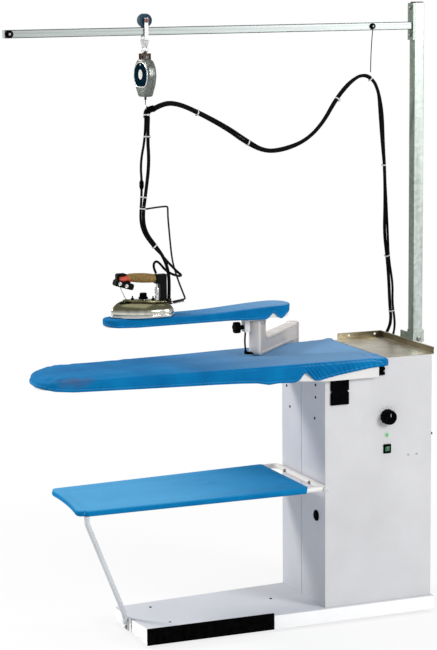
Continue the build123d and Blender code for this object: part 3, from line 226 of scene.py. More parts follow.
def draw_tube(form, path, radius, sides=14):
    """Skins a round tube of one radius, or of one radius a point, along a line and closes its ends."""
    uv = form.loops.layers.uv.verify()
    radii = radius if isinstance(radius, list) else [radius] * len(path)
    run = 0.0
    rings = []
    for i, (point, ahead, side, other) in enumerate(frames_along(path)):
        if i:
            run += (point - path[i - 1]).length
        rings.append((run, [form.verts.new(v) for v in circle(point, side * radii[i], other * radii[i], sides)]))
    for (run_a, a), (run_b, b) in zip(rings, rings[1:]):
        for k in range(sides):
            face = form.faces.new((a[k], a[(k + 1) % sides], b[(k + 1) % sides], b[k]))
            for loop, place in zip(face.loops, ((k, run_a), (k + 1, run_a), (k + 1, run_b), (k, run_b))):
                loop[uv].uv = (place[0] / sides, place[1])
    form.faces.new(reversed(rings[0][1]))
    form.faces.new(rings[-1][1])


def enter(name, mesh, body, stands_for):
    """Makes an object of a mesh. It rides on a body, unless that is None, and may stand for CAD nodes."""
    piece = bpy.data.objects.new(name, mesh)
    scene.collection.objects.link(piece)
    if body:
        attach(piece, body)
    if stands_for:
        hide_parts(*stands_for)
    return piece


def make_piece(name, form, material, body, stands_for=(), sharp=38, size=0.001):
    """Makes a piece of a form drawn in millimetres, or in metres if its size is 1."""
    if size != 1:
        bmesh.ops.scale(form, vec=(size, size, size), verts=form.verts)
    mesh = bpy.data.meshes.new(name)
    form.to_mesh(mesh)
    form.free()
    mesh.shade_smooth()
    mesh.set_sharp_from_angle(angle=math.radians(sharp))
    if mesh.uv_layers:
        mesh.uv_layers[0].name = "along"
    mesh.materials.append(material)
    return enter(name, mesh, body, stands_for)


hose_a_path = route("hose_a", [
    (452, 195.6, 752), (453, 228, 754), (463, 258, 768), (502, 266, 800), (523, 263, 840), (540, 244, 876),
    (546, 217, 923), (527, 193, 990), (514, 173, 1062), (494, 147, 1150), (475, 133, 1239), (466, 110, 1340),
    (455, 90, 1440), (438, 70, 1550), (424, 49, 1649), (403, 33, 1717), (377, 21, 1763), (330, 15, 1781),
    (288, 17, 1752), (240, 15, 1701), (190, 13, 1623), (129, 13, 1570), (51, 14, 1542), (-17, 14, 1540),
    (-83, 14, 1572), (-150, 12, 1619), (-243, 15, 1670), (-311, 13, 1700), (-362, 12, 1704),
    (-399, 11, 1683.5)])
cable_a_path = route("cable_a", [
    (480, 195.6, 724), (481, 228, 727), (493, 254, 745), (527, 257.5, 775), (545, 249.5, 812),
    (556.5, 232, 857), (556, 206, 913), (538, 195.5, 990), (525, 166, 1062.5), (504, 156, 1148),
    (485, 126.5, 1239.5), (475.5, 117.5, 1338), (460, 99, 1439), (438.5, 81, 1547.5), (418.5, 58, 1649.5),
    (405, 41.5, 1724), (379.5, 29.5, 1765.5), (343.5, 25.5, 1782), (291, 26.5, 1757.5), (240, 25, 1702.5),
    (191, 22.5, 1624), (131.5, 23, 1571), (51.5, 22.5, 1547.5), (-11.5, 24, 1543.5), (-78, 14.5, 1581.5),
    (-144, 16, 1626), (-237.5, 22.5, 1675.5), (-310, 21, 1706.5), (-362, 20.5, 1709.5), (-399.8, 19.5, 1689.5)])
hose_c_path = route("hose_c", [(-414, 11, 1663.7), (-419, 8, 1600), (-417, 2, 1525), (-429, -6, 1450),
                               (-440, -8, 1384.3)])
cable_c_path = route("cable_c", [(-422, 16.5, 1663.6), (-422, 19, 1602), (-443, 12, 1520), (-441, 3, 1450),
                                 (-449, -4.5, 1384.3)])
hose_d_path = route("hose_d", [(-440, -8, 1384), (-445.2, -10.3, 1346), (-435, -12, 1301), (-407, -18, 1261),
                               (-384, -26, 1226), (-370, -32, 1183), (-369, -38, 1136), (-372, -40, 1091.6)])
cable_d_path = route("cable_d", [
    (-449, -4.5, 1384), (-454.3, -7.8, 1345.3), (-445, -13, 1301), (-420, -26, 1262), (-396, -44, 1233),
    (-375, -58, 1205), (-351, -60, 1180), (-329, -44, 1165), (-326, -14, 1158), (-343, 4, 1163),
    (-367, 2, 1178), (-387, -8, 1200), (-404, -18, 1212), (-418, -29, 1206), (-420, -36, 1190),
    (-413, -37, 1175.2)])
hose_radius = 0.0055
cable_radius = 0.004


def bend(piece):
    """Bakes a piece's placement into its mesh."""
    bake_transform(piece)


def lay_cord(name, path, radius, material, node_name, sides=14):
    """Makes one cord along a line."""
    form = bmesh.new()
    draw_tube(form, path, radius, sides)
    cord = make_piece(name, form, material, None, [node_name], size=1)
    bend(cord)
    return cord


hose_a = lay_cord("steam_hose_rise", hose_a_path, hose_radius, braided_hose, "steam_hose_a")
cable_a = lay_cord("iron_cable_rise", cable_a_path, cable_radius, cable_rubber, "iron_cable_a")
hose_c = lay_cord("steam_hose_drop", hose_c_path, hose_radius, braided_hose, "steam_hose_c")
cable_c = lay_cord("iron_cable_drop", cable_c_path, cable_radius, cable_rubber, "iron_cable_c")
hose_d = lay_cord("steam_hose_tail", hose_d_path, hose_radius, braided_hose, "steam_hose_d")
cable_d = lay_cord("iron_cable_tail", cable_d_path, cable_radius, cable_rubber, "iron_cable_d")


# Cord ties: short nylon bands round the hose and the cable, a hand's breadth to a forearm apart.
# Eleven of them show as light specks against the black; each has its locking head on one side.
# Moulded nylon: off-white and a little see-through at its edges, so its sheen is soft.
tie_nylon = patterned("moulded_nylon_tie", "#e9e8e2", {"Roughness": 0.4, "Subsurface Weight": 0.15,
                                                       "Subsurface Scale": 0.001}, "#b4b4ae", "#cfcfc9",
                      {"Scale": 160, "Distortion": 0.5}, 0.0002, 0.3, kind="Wave")


def draw_band(form, loop, ahead, width, thickness, centre):
    """Draws a closed band of one width and thickness round a loop of points."""
    rings = []
    for point in loop:
        out = point - centre
        out = (out - ahead * out.dot(ahead)).normalized() * thickness
        half = ahead * width / 2
        rings.append([form.verts.new(p) for p in (point - half, point - half * 0.8 + out, point + half * 0.8 + out,
                                                  point + half)])
    for a, b in zip(rings, rings[1:] + rings[:1]):
        for k in range(4):
            form.faces.new((a[k], a[(k + 1) % 4], b[(k + 1) % 4], b[k]))
    bmesh.ops.recalc_face_normals(form, faces=form.faces)


def draw_brick(form, centre, axes, halves, ease=0.2):
    """Draws a block with eased edges about a centre; axes and half sizes are lists of three."""
    corners = bmesh.ops.create_cube(form, size=2)["verts"]
    for v in corners:
        v.co = centre + sum((a * h * c for a, h, c in zip(axes, halves, v.co)), Vector())
    edges = {e for v in corners for e in v.link_edges}
    bmesh.ops.bevel(form, geom=list(edges), offset=min(halves) * ease * 2, segments=2, affect="EDGES",
                    clamp_overlap=True)


tie_width, tie_thickness = 0.0042, 0.0013


def draw_tie(form, hose_path, cable_path, spot):
    """Draws a tie round both cords where the first comes nearest to a spot."""
    i = min(range(1, len(hose_path) - 1), key=lambda k: (hose_path[k] - spot).length)
    ahead = (hose_path[i + 1] - hose_path[i - 1]).normalized()
    one = hose_path[i]
    other = min(cable_path, key=lambda p: abs((p - one).dot(ahead)) + 0.2 * (p - one).length)
    other = other - ahead * (other - one).dot(ahead)
    across = (other - one).normalized()
    over = ahead.cross(across)
    loop = []
    for centre, radius, first in ((one, hose_radius, 90), (other, cable_radius, -90)):
        for step in range(9):
            # half way round each cord, 0.1 mm clear of it
            angle = math.radians(first + 180 * step / 8)
            loop.append(centre + (radius + 0.0001) * (math.cos(angle) * across + math.sin(angle) * over))
    draw_band(form, loop, ahead, tie_width, tie_thickness, (one + other) / 2)
    draw_brick(form, one + over * (hose_radius + 0.003), [across, over, ahead], [0.0034, 0.0026, 0.003])


def lay_ties(name, hose_path, cable_path, spots):
    """Makes one piece of a stretch's ties."""
    form = bmesh.new()
    for spot in spots:
        draw_tie(form, hose_path, cable_path, Vector(spot))
    ties = make_piece(name, form, tie_nylon, None, size=1)
    bend(ties)
    return ties


rise_ties = lay_ties("rise_ties", hose_a_path, cable_a_path, (
    (0.371, 0.018, 1.77), (0.244, 0.02, 1.699), (-0.072, 0.014, 1.574), (-0.246, 0.014, 1.678),
    (0.452, 0.093, 1.472), (0.487, 0.142, 1.162), (0.533, 0.19, 0.96)))
drop_ties = lay_ties("drop_ties", hose_c_path, cable_c_path, ((-0.42, 0.007, 1.603), (-0.441, -0.008, 1.412)))
tail_ties = lay_ties("tail_ties", hose_d_path, cable_d_path, ((-0.445, -0.01, 1.376), (-0.406, -0.02, 1.262)))


# In-line connector of the iron's cable: two black halves screwed together above the iron, ribbed for the
# fingers, with a tapered boot at each end. Here the cable is parted when the iron is changed.
# Moulded black plastic: semi-matt, with the fine grain of a spark-eroded mould.
black_plastic = finish("moulded_black_plastic", "#0c0c0d", {"Roughness": 0.5, "Specular IOR Level": 0.01})
tint(black_plastic, "#020203", "#080809", texture(black_plastic, "Noise", {"Scale": 30, "Detail": 4}))
relief(black_plastic, texture(black_plastic, "Noise", {"Scale": 1400, "Detail": 3}), 0.00015, 0.4)


def stretch_of(path, spot, reach):
    """Gives the part of a line within a reach of a spot."""
    return [p for p in path if (p - Vector(spot)).length < reach]


body_path = stretch_of(cable_c_path, (-0.4405, 0.0035, 1.454), 0.0185)
steps = len(body_path) - 1
radii = []
for i in range(len(body_path)):
    share = i / steps
    rib = 0.0006 if (i % 2 and 0.3 < share < 0.7) else 0
    radii.append(0.0045 + 0.0028 * min(1, share * 4, (1 - share) * 4) + rib)
form = bmesh.new()
draw_tube(form, body_path, radii, 18)
connector = make_piece("cable_connector", form, black_plastic, None, size=1, sharp=60)
bend(connector)


# Strap of the hoses: a thin dark cord that hangs from a rubber stop on the rail and holds the bundle up.
# It is a 3 mm textile braid, drawn taut by the weight of the hose and the cable.
strap_path = route("strap", [(363, -1.5, 1925.2), (361, 8, 1868), (365, 18, 1786.2)])
strap_radius = 0.0015
form = bmesh.new()
draw_tube(form, strap_path, strap_radius, 10)
strap = make_piece("strap_cord", form, braided_hose, "frame", ["hose_strap"], size=1)


# Heater lead of the sleeve board: a short grey-black rubber lead, 6 mm thick. It leaves the collar and enters
# the cast arm through an elbow, with enough slack for the board's turn.
lead_path = route("lead", [(-106, -32, 967.4), (-109, -34, 947), (-107, -29, 925), (-104, -28, 903.6)])
lead_radius = 0.003
lead = lay_cord("sleeve_heater_lead", lead_path, lead_radius, cable_rubber, "sleeve_lead",
                12)


# Base pan: one folded sheet of 2 mm steel, open below, on which the cabinet, the pedal and the shelf's leg
# stand. Its folds are pressed, so every edge is a little round.
# Powder coat, near white and fine grained: even and satin, with a faint orange peel and slightly duller
# patches where shoes and cloths rub it.
def powder_coat(name, dark, light, roughness=0.42):
    """Makes a baked powder coat between two near tones."""
    material = finish(name, light, {"Roughness": roughness, "Specular IOR Level": 0.4})
    patches = texture(material, "Noise", {"Scale": 4, "Detail": 5, "Roughness": 0.6})
    tint(material, dark, light, patches, (0.3, 0.62))
    relief(material, texture(material, "Noise", {"Scale": 550, "Detail": 2}), 0.00012, 0.35)
    shine(material, roughness - 0.05, roughness + 0.1, patches)
    return material


white_coat = powder_coat("white_powder_coat", "#eeeeef", "#f5f5f5")
# painted shade: what faces up is greyed, darker than the front and the sides
tone_by_facing(white_coat, (0, 0, 1), ((0.0, "#ffffff"), (0.6, "#ffffff"), (0.95, "#dcdde0")))
cabinet_coat = powder_coat("light_grey_powder_coat", "#c0c0c2", "#c9c9cb")
side_coat = powder_coat("bluish_grey_powder_coat", "#bcbec5", "#c6c8ce")


def eased_copy(node_name, ease=0.6, angle=35):
    """Copies a CAD node into a form in millimetres, joins its triangles and rounds its sharp edges."""
    form = bmesh.new()
    form.from_mesh(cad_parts[node_name].data)
    bmesh.ops.scale(form, vec=(1000, 1000, 1000), verts=form.verts)
    bmesh.ops.remove_doubles(form, verts=form.verts, dist=0.002)
    bmesh.ops.dissolve_limit(form, angle_limit=math.radians(0.6), verts=form.verts, edges=form.edges)
    sharp = [e for e in form.edges if len(e.link_faces) == 2 and e.calc_face_angle(0) > math.radians(angle)]
    bmesh.ops.bevel(form, geom=sharp, offset=ease, segments=2, affect="EDGES", clamp_overlap=False)
    for layer in list(form.loops.layers.uv.values()):
        form.loops.layers.uv.remove(layer)
    return form


def ease_node(node_name, material, body, ease=0.6, angle=35):
    """Replaces a CAD node by its copy with eased edges."""
    piece = make_piece(node_name + "_finished", eased_copy(node_name, ease, angle), material, body,
                       [node_name])
    even = piece.modifiers.new("even", "WEIGHTED_NORMAL")
    even.keep_sharp = True
    return piece


def dress(node_name, material):
    """Gives a CAD node that stays as it is its finish."""
    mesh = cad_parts[node_name].data
    mesh.materials.clear()
    mesh.materials.append(material)


ease_node("base_pan", white_coat, "frame", 0.9)

# Feet: five grey-black rubber buffers screwed up into the pan, which stop it sliding.
# Moulded rubber: matt, almost black, with the faint bloom that rubber gets.
black_rubber = patterned("moulded_black_rubber", "#0d0d0e", {"Roughness": 0.72, "Specular IOR Level": 0.01},
                         "#020202", "#090909", {"Scale": 55, "Detail": 6}, 0.0003, 0.5)
ease_node("rubber_feet", black_rubber, "frame", 0.8)


# Pedal: a folded plate over the front edge of the base that turns on a hidden rod, with a return spring.
# Its coat is the base's; its front carries a ribbed strip of black rubber, glued on, that takes the shoe.
# Bright steel, drawn and lightly oiled, for the rod and the spring.
drawn_steel = patterned("drawn_steel", "#a4a5a6", {"Metallic": 1.0, "Roughness": 0.32}, "#8d8e90", "#b9babb",
                        {"Scale": 70, "Detail": 5}, 0.0001, 0.4)
ease_node("pedal_plate", white_coat, "pedal", 0.5)
dress("pedal_rod", drawn_steel)
dress("pedal_spring", drawn_steel)

form = eased_copy("pedal_strip", 0.8)
for rib_z in range(17, 66, 5):
    # raised ribs, 1 mm proud, run the whole length of the strip
    ridge = bmesh.ops.create_cube(form, size=1)["verts"]
    for v in ridge:
        v.co = Vector((-293 + v.co.x * 434, -181.1 + v.co.y * 1.6, rib_z + v.co.z * (2.4 if v.co.y > 0 else 1.4)))
make_piece("pedal_strip_ribbed", form, black_rubber, "pedal", ["pedal_strip"])


# Cabinet: front, right side and stepped top in one folded sheet, two side panels with an open seam, and
# a louvred back. The panels are screwed to the shell; inside are the boiler and the suction fan.
ease_node("cabinet_shell", cabinet_coat, "frame", 0.9)
ease_node("side_panels", side_coat, "frame", 0.6)
ease_node("back_panel", cabinet_coat, "frame", 0.5)

# Bright welded sheet of the boiler, with the blue and straw haze of heat round its seams.
boiler_steel = patterned("pickled_boiler_steel", "#9a9a98", {"Metallic": 1.0, "Roughness": 0.38}, "#7f7a72",
                         "#b2b3b4", {"Scale": 12, "Detail": 6}, 0.0004, 0.4)
dress("boiler", boiler_steel)
dress("suction_fan", cabinet_coat)

# Details of the front: a black cover plate held by two clips, with the moulded grain of its plastic, the
# cable glands at the back, and the rubber grommet in the left side.
ease_node("front_cover", black_plastic, "frame", 0.6)
ease_node("rear_glands", black_plastic, "frame", 0.6)
dress("side_grommet", black_rubber)


def draw_turned(form, profile, origin, direction, sides=32, close=True):
    """Turns a profile of (radius, height) pairs about an axis; heights run along the direction."""
    axis = Vector(direction).normalized()
    side = axis.orthogonal().normalized()
    other = axis.cross(side)
    rings = []
    for radius, height in profile:
        centre = Vector(origin) + axis * height
        if radius < 1e-6:
            rings.append([form.verts.new(centre)] * sides)
        else:
            rings.append([form.verts.new(v) for v in circle(centre, side * radius, other * radius, sides)])
    for a, b in zip(rings, rings[1:]):
        for k in range(sides):
            corners = []
            for v in (a[k], a[(k + 1) % sides], b[(k + 1) % sides], b[k]):
                if v not in corners:
                    corners.append(v)
            if len(corners) > 2:
                form.faces.new(corners)
    for ring, turn in ((rings[0], -1), (rings[-1], 1)):
        if close and ring[0] is not ring[1]:
            form.faces.new(ring[::turn])


# Boots of the glands: tapered black rubber, which take the first bend of the hose and the cable.
form = bmesh.new()
for x, z, radius in ((452, 752, 5.6), (480, 724, 4.1)):
    draw_turned(form, [(radius + 3.4, 0)] + [(radius + 3.2 - 2.6 * k / 12 + (0.5 if k % 2 else 0), 1 + 1.8 * k)
                                             for k in range(13)] + [(radius + 0.1, 23.6)],
                (x, 194.9, z), (0.02, 1, 0.03), 24)
make_piece("gland_boots", form, black_rubber, "frame", sharp=60)


# Control knob: black moulded knob with twelve finger flutes, a raised grip bar and a white pointer line.
# It sets the steam pressure; short printed ticks stand round it on the front.
# Screen-printed ink: flat, dark grey, hardly raised.
printed_ink = patterned("screen_printed_ink", "#3b3d41", {"Roughness": 0.55}, "#34363a", "#4a4c50", {"Scale": 900})
ease_node("control_knob", black_plastic, "control_knob", 0.4)
form = bmesh.new()
front_y = -161.0
along_x, along_y, up = square = [Vector((1, 0, 0)), Vector((0, 1, 0)), Vector((0, 0, 1))]
draw_brick(form, Vector((340, front_y - 26.6, 675)), square, [4.2, 1.6, 15], 0.35)
make_piece("knob_grip_bar", form, black_plastic, "control_knob")
form = bmesh.new()
draw_brick(form, Vector((340, front_y - 28.3, 683)), square, [0.8, 0.25, 5.5], 0.3)
make_piece("knob_pointer", form, tie_nylon, "control_knob")
form = bmesh.new()
for k in range(11):
    angle = math.radians(-135 + 27 * k)
    out = Vector((math.sin(angle), 0, math.cos(angle)))
    draw_brick(form, Vector((340, front_y - 0.1, 675)) + out * 32, [out, along_y, out.cross(along_y)],
               [2.2 if k % 5 else 3.2, 0.15, 0.45], 0.3)
make_piece("knob_ticks", form, printed_ink, "frame")


# Pilot lamp: a domed green lens in a pale moulded ring, pressed into the front of the cabinet. It glows
# softly when the boiler heats.
# Moulded green polycarbonate: clear enough to show depth, with ribs inside that break up the light.
lamp_lens = patterned("green_polycarbonate_lens", "#2f7a45", {"Roughness": 0.18, "Transmission Weight": 0.25,
                                                              "IOR": 1.58, "Coat Weight": 0.4,
                                                              "Emission Color": colour("#8fe6a2"),
                                                              "Emission Strength": 0.35}, "#23653a", "#4f9a62",
                      {"Scale": 900}, 0.0003, 0.5, kind="Voronoi")
pale_green = patterned("moulded_pale_green_ring", "#bfe0bd", {"Roughness": 0.4}, "#b3d8b2", "#cbe6c8", {"Scale": 200})
form = bmesh.new()
draw_turned(form, [(4.8, -14), (4.8, 0), (8, 0), (8, 1.6), (7.6, 2.2), (6.4, 2.4), (6.0, 1.6), (0, 1.6)],
            (340, -161.1, 614), (0, -1, 0), 40)
make_piece("lamp_ring", form, pale_green, "frame", ["pilot_lamp"])
form = bmesh.new()
draw_turned(form, [(5.9, 1.0), (5.9, 2.2), (5.6, 3.6), (4.8, 5.2), (3.4, 6.6), (1.8, 7.4), (0, 7.7)],
            (340, -161.1, 614), (0, -1, 0), 40)
make_piece("lamp_dome", form, lamp_lens, "frame")


# Main switch: a black moulded bezel, snapped into the front of the cabinet, round a green see-through rocker
# that tilts. The usual line and ring stand on it in white.
rocker_green = patterned("translucent_green_rocker", "#0f5a3c", {"Roughness": 0.25, "Coat Weight": 0.3,
                                                                 "Transmission Weight": 0.05}, "#0b4a32", "#1c7550",
                         {"Scale": 160, "Detail": 3})
ease_node("rocker_bezel", black_plastic, "frame", 0.5)
ease_node("rocker", rocker_green, "rocker", 0.4)
form = bmesh.new()
lean = Vector((0, -2.8, 8)).normalized()
outward = Vector((0, -8, -2.8)).normalized()
draw_brick(form, Vector((340, -166.6, 571.6)) + outward * 0.15, [along_x, outward, lean], [0.5, 0.2, 2.1], 0.3)
ring_centre = Vector((340, -164.05, 564))
ring_lean = Vector((0, -0.8, 8.4)).normalized()
draw_band(form, circle(ring_centre, along_x * 1.9, ring_lean * 1.9, 20), Vector((0, -1, -0.1)).normalized(),
          0.5, 0.5, ring_centre)
make_piece("switch_marks", form, tie_nylon, "rocker")


# Small fixings of the cabinet: two bright steel rivets that plug holes in the front, and a turned rubber
# stub screwed to the right side.
form = bmesh.new()
for x in (418, 449):
    draw_turned(form, [(2.5, -4), (2.5, 0.1), (3.4, 0.1), (3.2, 0.8), (1.4, 1.2), (1.2, 0.5), (0, 0.5)],
                (x, -161.1, 541), (0, -1, 0), 24)
make_piece("front_rivets", form, drawn_steel, "frame")
form = bmesh.new()
draw_turned(form, [(5.5, 0), (5.5, 2), (4.4, 3), (4.2, 7.5), (3.4, 8.4), (0, 8.4)], (503, -150, 603), (1, 0, 0), 24)
make_piece("side_stub", form, black_rubber, "frame")


# Worktop tray: thin stainless sheet on top of the cabinet, folded up at the back and the right, its folds
# hemmed over. Rolled stainless after years of use: streaks along the rolling, warm grey, with wiped patches.
tray_steel = finish("rolled_stainless_sheet", "#b4b0a0", {"Metallic": 1.0, "Roughness": 0.36})
wiped = texture(tray_steel, "Noise", {"Scale": 11, "Detail": 6, "Roughness": 0.65})
tint(tray_steel, "#c9c0a9", "#efeadb", wiped, (0.3, 0.7))
# painted shade: the upright folds, and what faces down, are darker than the tray's floor
tone_by_facing(tray_steel, (0, 0, 1), ((0.0, "#7d796e"), (0.45, "#8d887b"), (0.72, "#a09b8c"), (0.95, "#ffffff")))
shine(tray_steel, 0.28, 0.5, wiped)
relief(tray_steel, texture(tray_steel, "Noise", {"Scale": 1.0, "Detail": 3}, (6, 260, 260)), 0.0002, 0.4)
ease_node("worktop_tray", tray_steel, "frame", 0.5)


# Ironing board: a white painted suction box, a perforated plate that closes it, and a padded cover of
# blue cotton with a skirt that is drawn tight under the edge and cut away round the arm's clearance.
board_white = powder_coat("white_board_enamel", "#cccbca", "#d6d5d3", 0.35)
ease_node("board_hull", board_white, "frame", 0.5)
dress("perforated_plate", drawn_steel)
ease_node("board_latch", black_plastic, "frame", 0.5)

# Blue cotton drill, heat-proof finish: matt, with a soft sheen; its top has painted light, a paler tone graded along
# its length.
# Its threads are 0.4 mm apart; the weave is drawn at 2.2 mm so that it shows.
def cotton(name, dark, light, lit_top_tone, sheen=0.02, light_by_end=(0.06, 1.0)):
    """Makes a woven cotton whose upper side has painted light: paler than its sides, graded between its left and right
    ends.
    """
    material = finish(name, light, {"Roughness": 0.82, "Sheen Weight": sheen, "Sheen Roughness": 0.5,
                                    "Sheen Tint": colour("#c9dcf5"), "Specular IOR Level": 0.06})
    threads = [texture(material, "Wave", {"Scale": 143, "Distortion": 1.2, "Detail": 1, "bands_direction": way})
               .outputs["Fac"] for way in ("X", "Y", "Z")]
    lengthwise = node(material, "Math", {"operation": "MAXIMUM"}, {0: threads[1], 1: threads[2]})
    weave = node(material, "Math", {"operation": "MULTIPLY"}, {0: threads[0], 1: lengthwise})
    tint(material, dark, light, texture(material, "Noise", {"Scale": 7, "Detail": 7, "Roughness": 0.6}), (0.3, 0.65))
    # painted light: faces that look up take the paler tone, by an amount graded along X
    upward = node(material, "SeparateXYZ", {}, {"Vector": node(material, "NewGeometry").outputs["Normal"]})
    share = node(material, "MapRange", {"From Min": 0.45, "From Max": 0.98, "To Max": 0.85},
                 {"Value": upward.outputs["Z"]})
    place = node(material, "SeparateXYZ", {}, {"Vector": node(material, "TexCoord").outputs["Object"]})
    light_along_x = node(material, "MapRange", {"interpolation_type": "SMOOTHSTEP", "From Min": -0.5, "From Max": 0.12,
                                       "To Min": light_by_end[0], "To Max": light_by_end[1]}, {"Value": place.outputs["X"]})
    painted_light_share = node(material, "Math", {"operation": "MULTIPLY"}, {0: share, 1: light_along_x})
    recolour(material, {7: colour(lit_top_tone)}, {0: painted_light_share})
    recolour(material, {"blend_type": "MULTIPLY", 0: 0.22}, {7: weave})
    relief(material, weave, 0.0004, 0.3)
    return material


def scorch(material, spot, reach, tone):
    """Browns a cloth round a spot, as a hot sole left there too long does."""
    place = node(material, "TexCoord").outputs["Object"]
    apart = node(material, "VectorMath", {"operation": "SUBTRACT", 1: spot}, {0: place})
    shares = node(material, "VectorMath", {"operation": "DIVIDE", 1: reach}, {0: apart})
    far = node(material, "VectorMath", {"operation": "LENGTH"}, {0: shares})
    ragged = texture(material, "Noise", {"Scale": 38, "Detail": 5})
    reached = node(material, "Math", {"operation": "MULTIPLY_ADD", 1: 0.9}, {0: ragged, 2: far.outputs["Value"]})
    browned = node(material, "MapRange", {"interpolation_type": "SMOOTHSTEP", "From Min": 0.5, "From Max": 1.5,
                                          "To Min": 0.6, "To Max": 0.0}, {"Value": reached})
    recolour(material, {7: colour(tone)}, {0: browned})


# the covers' top takes painted light in #7da5cb, paler toward the right end
board_cotton = cotton("blue_cotton_drill", "#01619b", "#0478b2", "#7da5cb")
scorch(board_cotton, (-0.735, -0.176, 0.878), (0.085, 0.03, 0.03), "#4a4560")


def clip(value):
    """Keeps a value between 0 and 1."""
    return min(1, max(0, value))


def arc_points(start, middle, end, steps):
    """Gives points along an arc through three points, without the last."""
    (ax, ay), (bx, by), (cx, cy) = start, middle, end
    d = 2 * (ax * (by - cy) + bx * (cy - ay) + cx * (ay - by))
    ux = ((ax * ax + ay * ay) * (by - cy) + (bx * bx + by * by) * (cy - ay) + (cx * cx + cy * cy) * (ay - by)) / d
    uy = ((ax * ax + ay * ay) * (cx - bx) + (bx * bx + by * by) * (ax - cx) + (cx * cx + cy * cy) * (bx - ax)) / d
    first = math.atan2(ay - uy, ax - ux)
    turn = math.atan2(cy - uy, cx - ux) - first
    via = math.atan2(by - uy, bx - ux) - first
    if (via % (2 * math.pi)) > (turn % (2 * math.pi)):
        turn = -((-turn) % (2 * math.pi))
    else:
        turn = turn % (2 * math.pi)
    radius = math.hypot(ax - ux, ay - uy)
    return [(ux + radius * math.cos(first + turn * k / steps), uy + radius * math.sin(first + turn * k / steps))
            for k in range(steps)]


def even_outline(corners, count, soften=3):
    """Resamples a closed plan outline at an even spacing and softens its corners."""
    runs = [math.dist(a, b) for a, b in zip(corners, corners[1:] + corners[:1])]
    points, i, done = [], 0, 0.0
    for k in range(count):
        want = sum(runs) * k / count
        while done + runs[i] < want:
            done += runs[i]
            i += 1
        share = (want - done) / runs[i]
        points.append(Vector(corners[i]).lerp(Vector(corners[(i + 1) % len(corners)]), share))
    for _ in range(soften):
        points = [(points[k - 1] + points[k] * 2 + points[(k + 1) % count]) / 4 for k in range(count)]
    return points


def inward(points, k):
    """Gives the direction from an outline's point to its inside; the outline runs anticlockwise."""
    along = (points[(k + 1) % len(points)] - points[k - 1]).normalized()
    return Vector((-along.y, along.x))


def hem_height(hem, x):
    """Reads a hem line at an X."""
    for (xa, za), (xb, zb) in zip(hem, hem[1:]):
        if xa <= x <= xb:
            share = (x - xa) / (xb - xa)
            return za + (zb - za) * share
    return hem[0][1] if x < hem[0][0] else hem[-1][1]


def skin_rings(form, rings):
    """Skins closed rings of one count, from the first to the last, and fills both ends."""
    made = [[form.verts.new(v) for v in ring] for ring in rings]
    count = len(rings[0])
    for a, b in zip(made, made[1:]):
        for k in range(count):
            form.faces.new((a[k], b[k], b[(k + 1) % count], a[(k + 1) % count]))
    for ring in (made[0], made[-1]):
        edges = [form.edges.get((ring[k], ring[(k + 1) % count])) for k in range(count)]
        bmesh.ops.triangle_fill(form, use_beauty=True, edges=edges)
    bmesh.ops.recalc_face_normals(form, faces=form.faces)


def draw_padded_cover(form, outline, spine, top, under, hem, edge, skirt, crown):
    """Draws a closed padded cover: a soft top, a rounded edge, a skirt down to the hem, and its inside.

    Gives the number of vertices of its outer side, which come first."""
    def ring_at(depth, height):
        return [Vector((*(p + inward(outline, k) * depth), height(p))) for k, p in enumerate(outline)]

    rings = []
    for step in range(14, -1, -1):
        share = 1 - (step / 16) ** 1.3
        flat = [spine(p).lerp(p + inward(outline, k) * edge, share) for k, p in enumerate(outline)]
        rings.append([Vector((*p, top(p) + crown * (1 - share ** 3))) for p in flat])
    for turn in (20, 40, 60, 80):
        angle = math.radians(turn)
        rings.append(ring_at(edge * (1 - math.sin(angle)), lambda p: top(p) - edge * 0.8 * (1 - math.cos(angle))))
    for share in (0.0, 0.12, 0.25, 0.38, 0.52, 0.66, 0.8, 0.92, 1.0):
        rings.append(ring_at(0.2 + share, lambda p: (top(p) - edge) * (1 - share) + hem(p) * share))
    outer = len(rings) * len(outline)
    for depth, lift in ((1.8, -0.9), (3.4, -0.6), (skirt, 1.0)):
        rings.append(ring_at(depth, lambda p: hem(p) + lift))
    for share in (0.33, 0.66, 1.0):
        rings.append(ring_at(skirt, lambda p: (hem(p) + 1) * (1 - share) + under(p) * share))
    for share in (0.8, 0.55, 0.3, 0.1):
        flat = [spine(p).lerp(p + inward(outline, k) * skirt, share) for k, p in enumerate(outline)]
        rings.append([Vector((*p, under(p))) for p in flat])
    skin_rings(form, rings)
    return outer


def settle_cover(cover, outer, free, gathered, cap, pressure):
    """Lets a cover's outer cloth swell and gather; no point moves further than the cap."""
    mesh = cover.data
    start = [v.co.copy() for v in mesh.vertices]
    held = cover.vertex_groups.new(name="held")
    gathers = cover.vertex_groups.new(name="gathers")
    for v in mesh.vertices:
        held.add([v.index], 1 - free(v.co) if v.index < outer else 1.0, "REPLACE")
        gathers.add([v.index], gathered(v.co), "REPLACE")
    cloth = cover.modifiers.new("cloth", "CLOTH")
    for key, value in (("quality", 6), ("mass", 0.2), ("tension_stiffness", 12), ("compression_stiffness", 12),
                       ("bending_stiffness", 0.3), ("vertex_group_mass", "held"), ("use_pressure", True),
                       ("uniform_pressure_force", pressure), ("vertex_group_shrink", "gathers"),
                       ("shrink_min", 0.0), ("shrink_max", -0.12)):
        setattr(cloth.settings, key, value)
    cloth.settings.effector_weights.gravity = 0
    cloth.collision_settings.use_collision = False
    cloth.point_cache.frame_start = 1
    cloth.point_cache.frame_end = 20
    for step in range(1, 21):
        scene.frame_set(step)
    settled = cover.evaluated_get(bpy.context.evaluated_depsgraph_get()).to_mesh()
    moved = []
    for v, at in zip(settled.vertices, start):
        shift = v.co - at
        moved.append(at + shift * min(1, cap / max(shift.length, 1e-9)))
    cover.evaluated_get(bpy.context.evaluated_depsgraph_get()).to_mesh_clear()
    cover.modifiers.remove(cloth)
    cover.vertex_groups.clear()
    for v, at in zip(mesh.vertices, moved):
        v.co = at
    scene.frame_set(1)
    mesh.update()


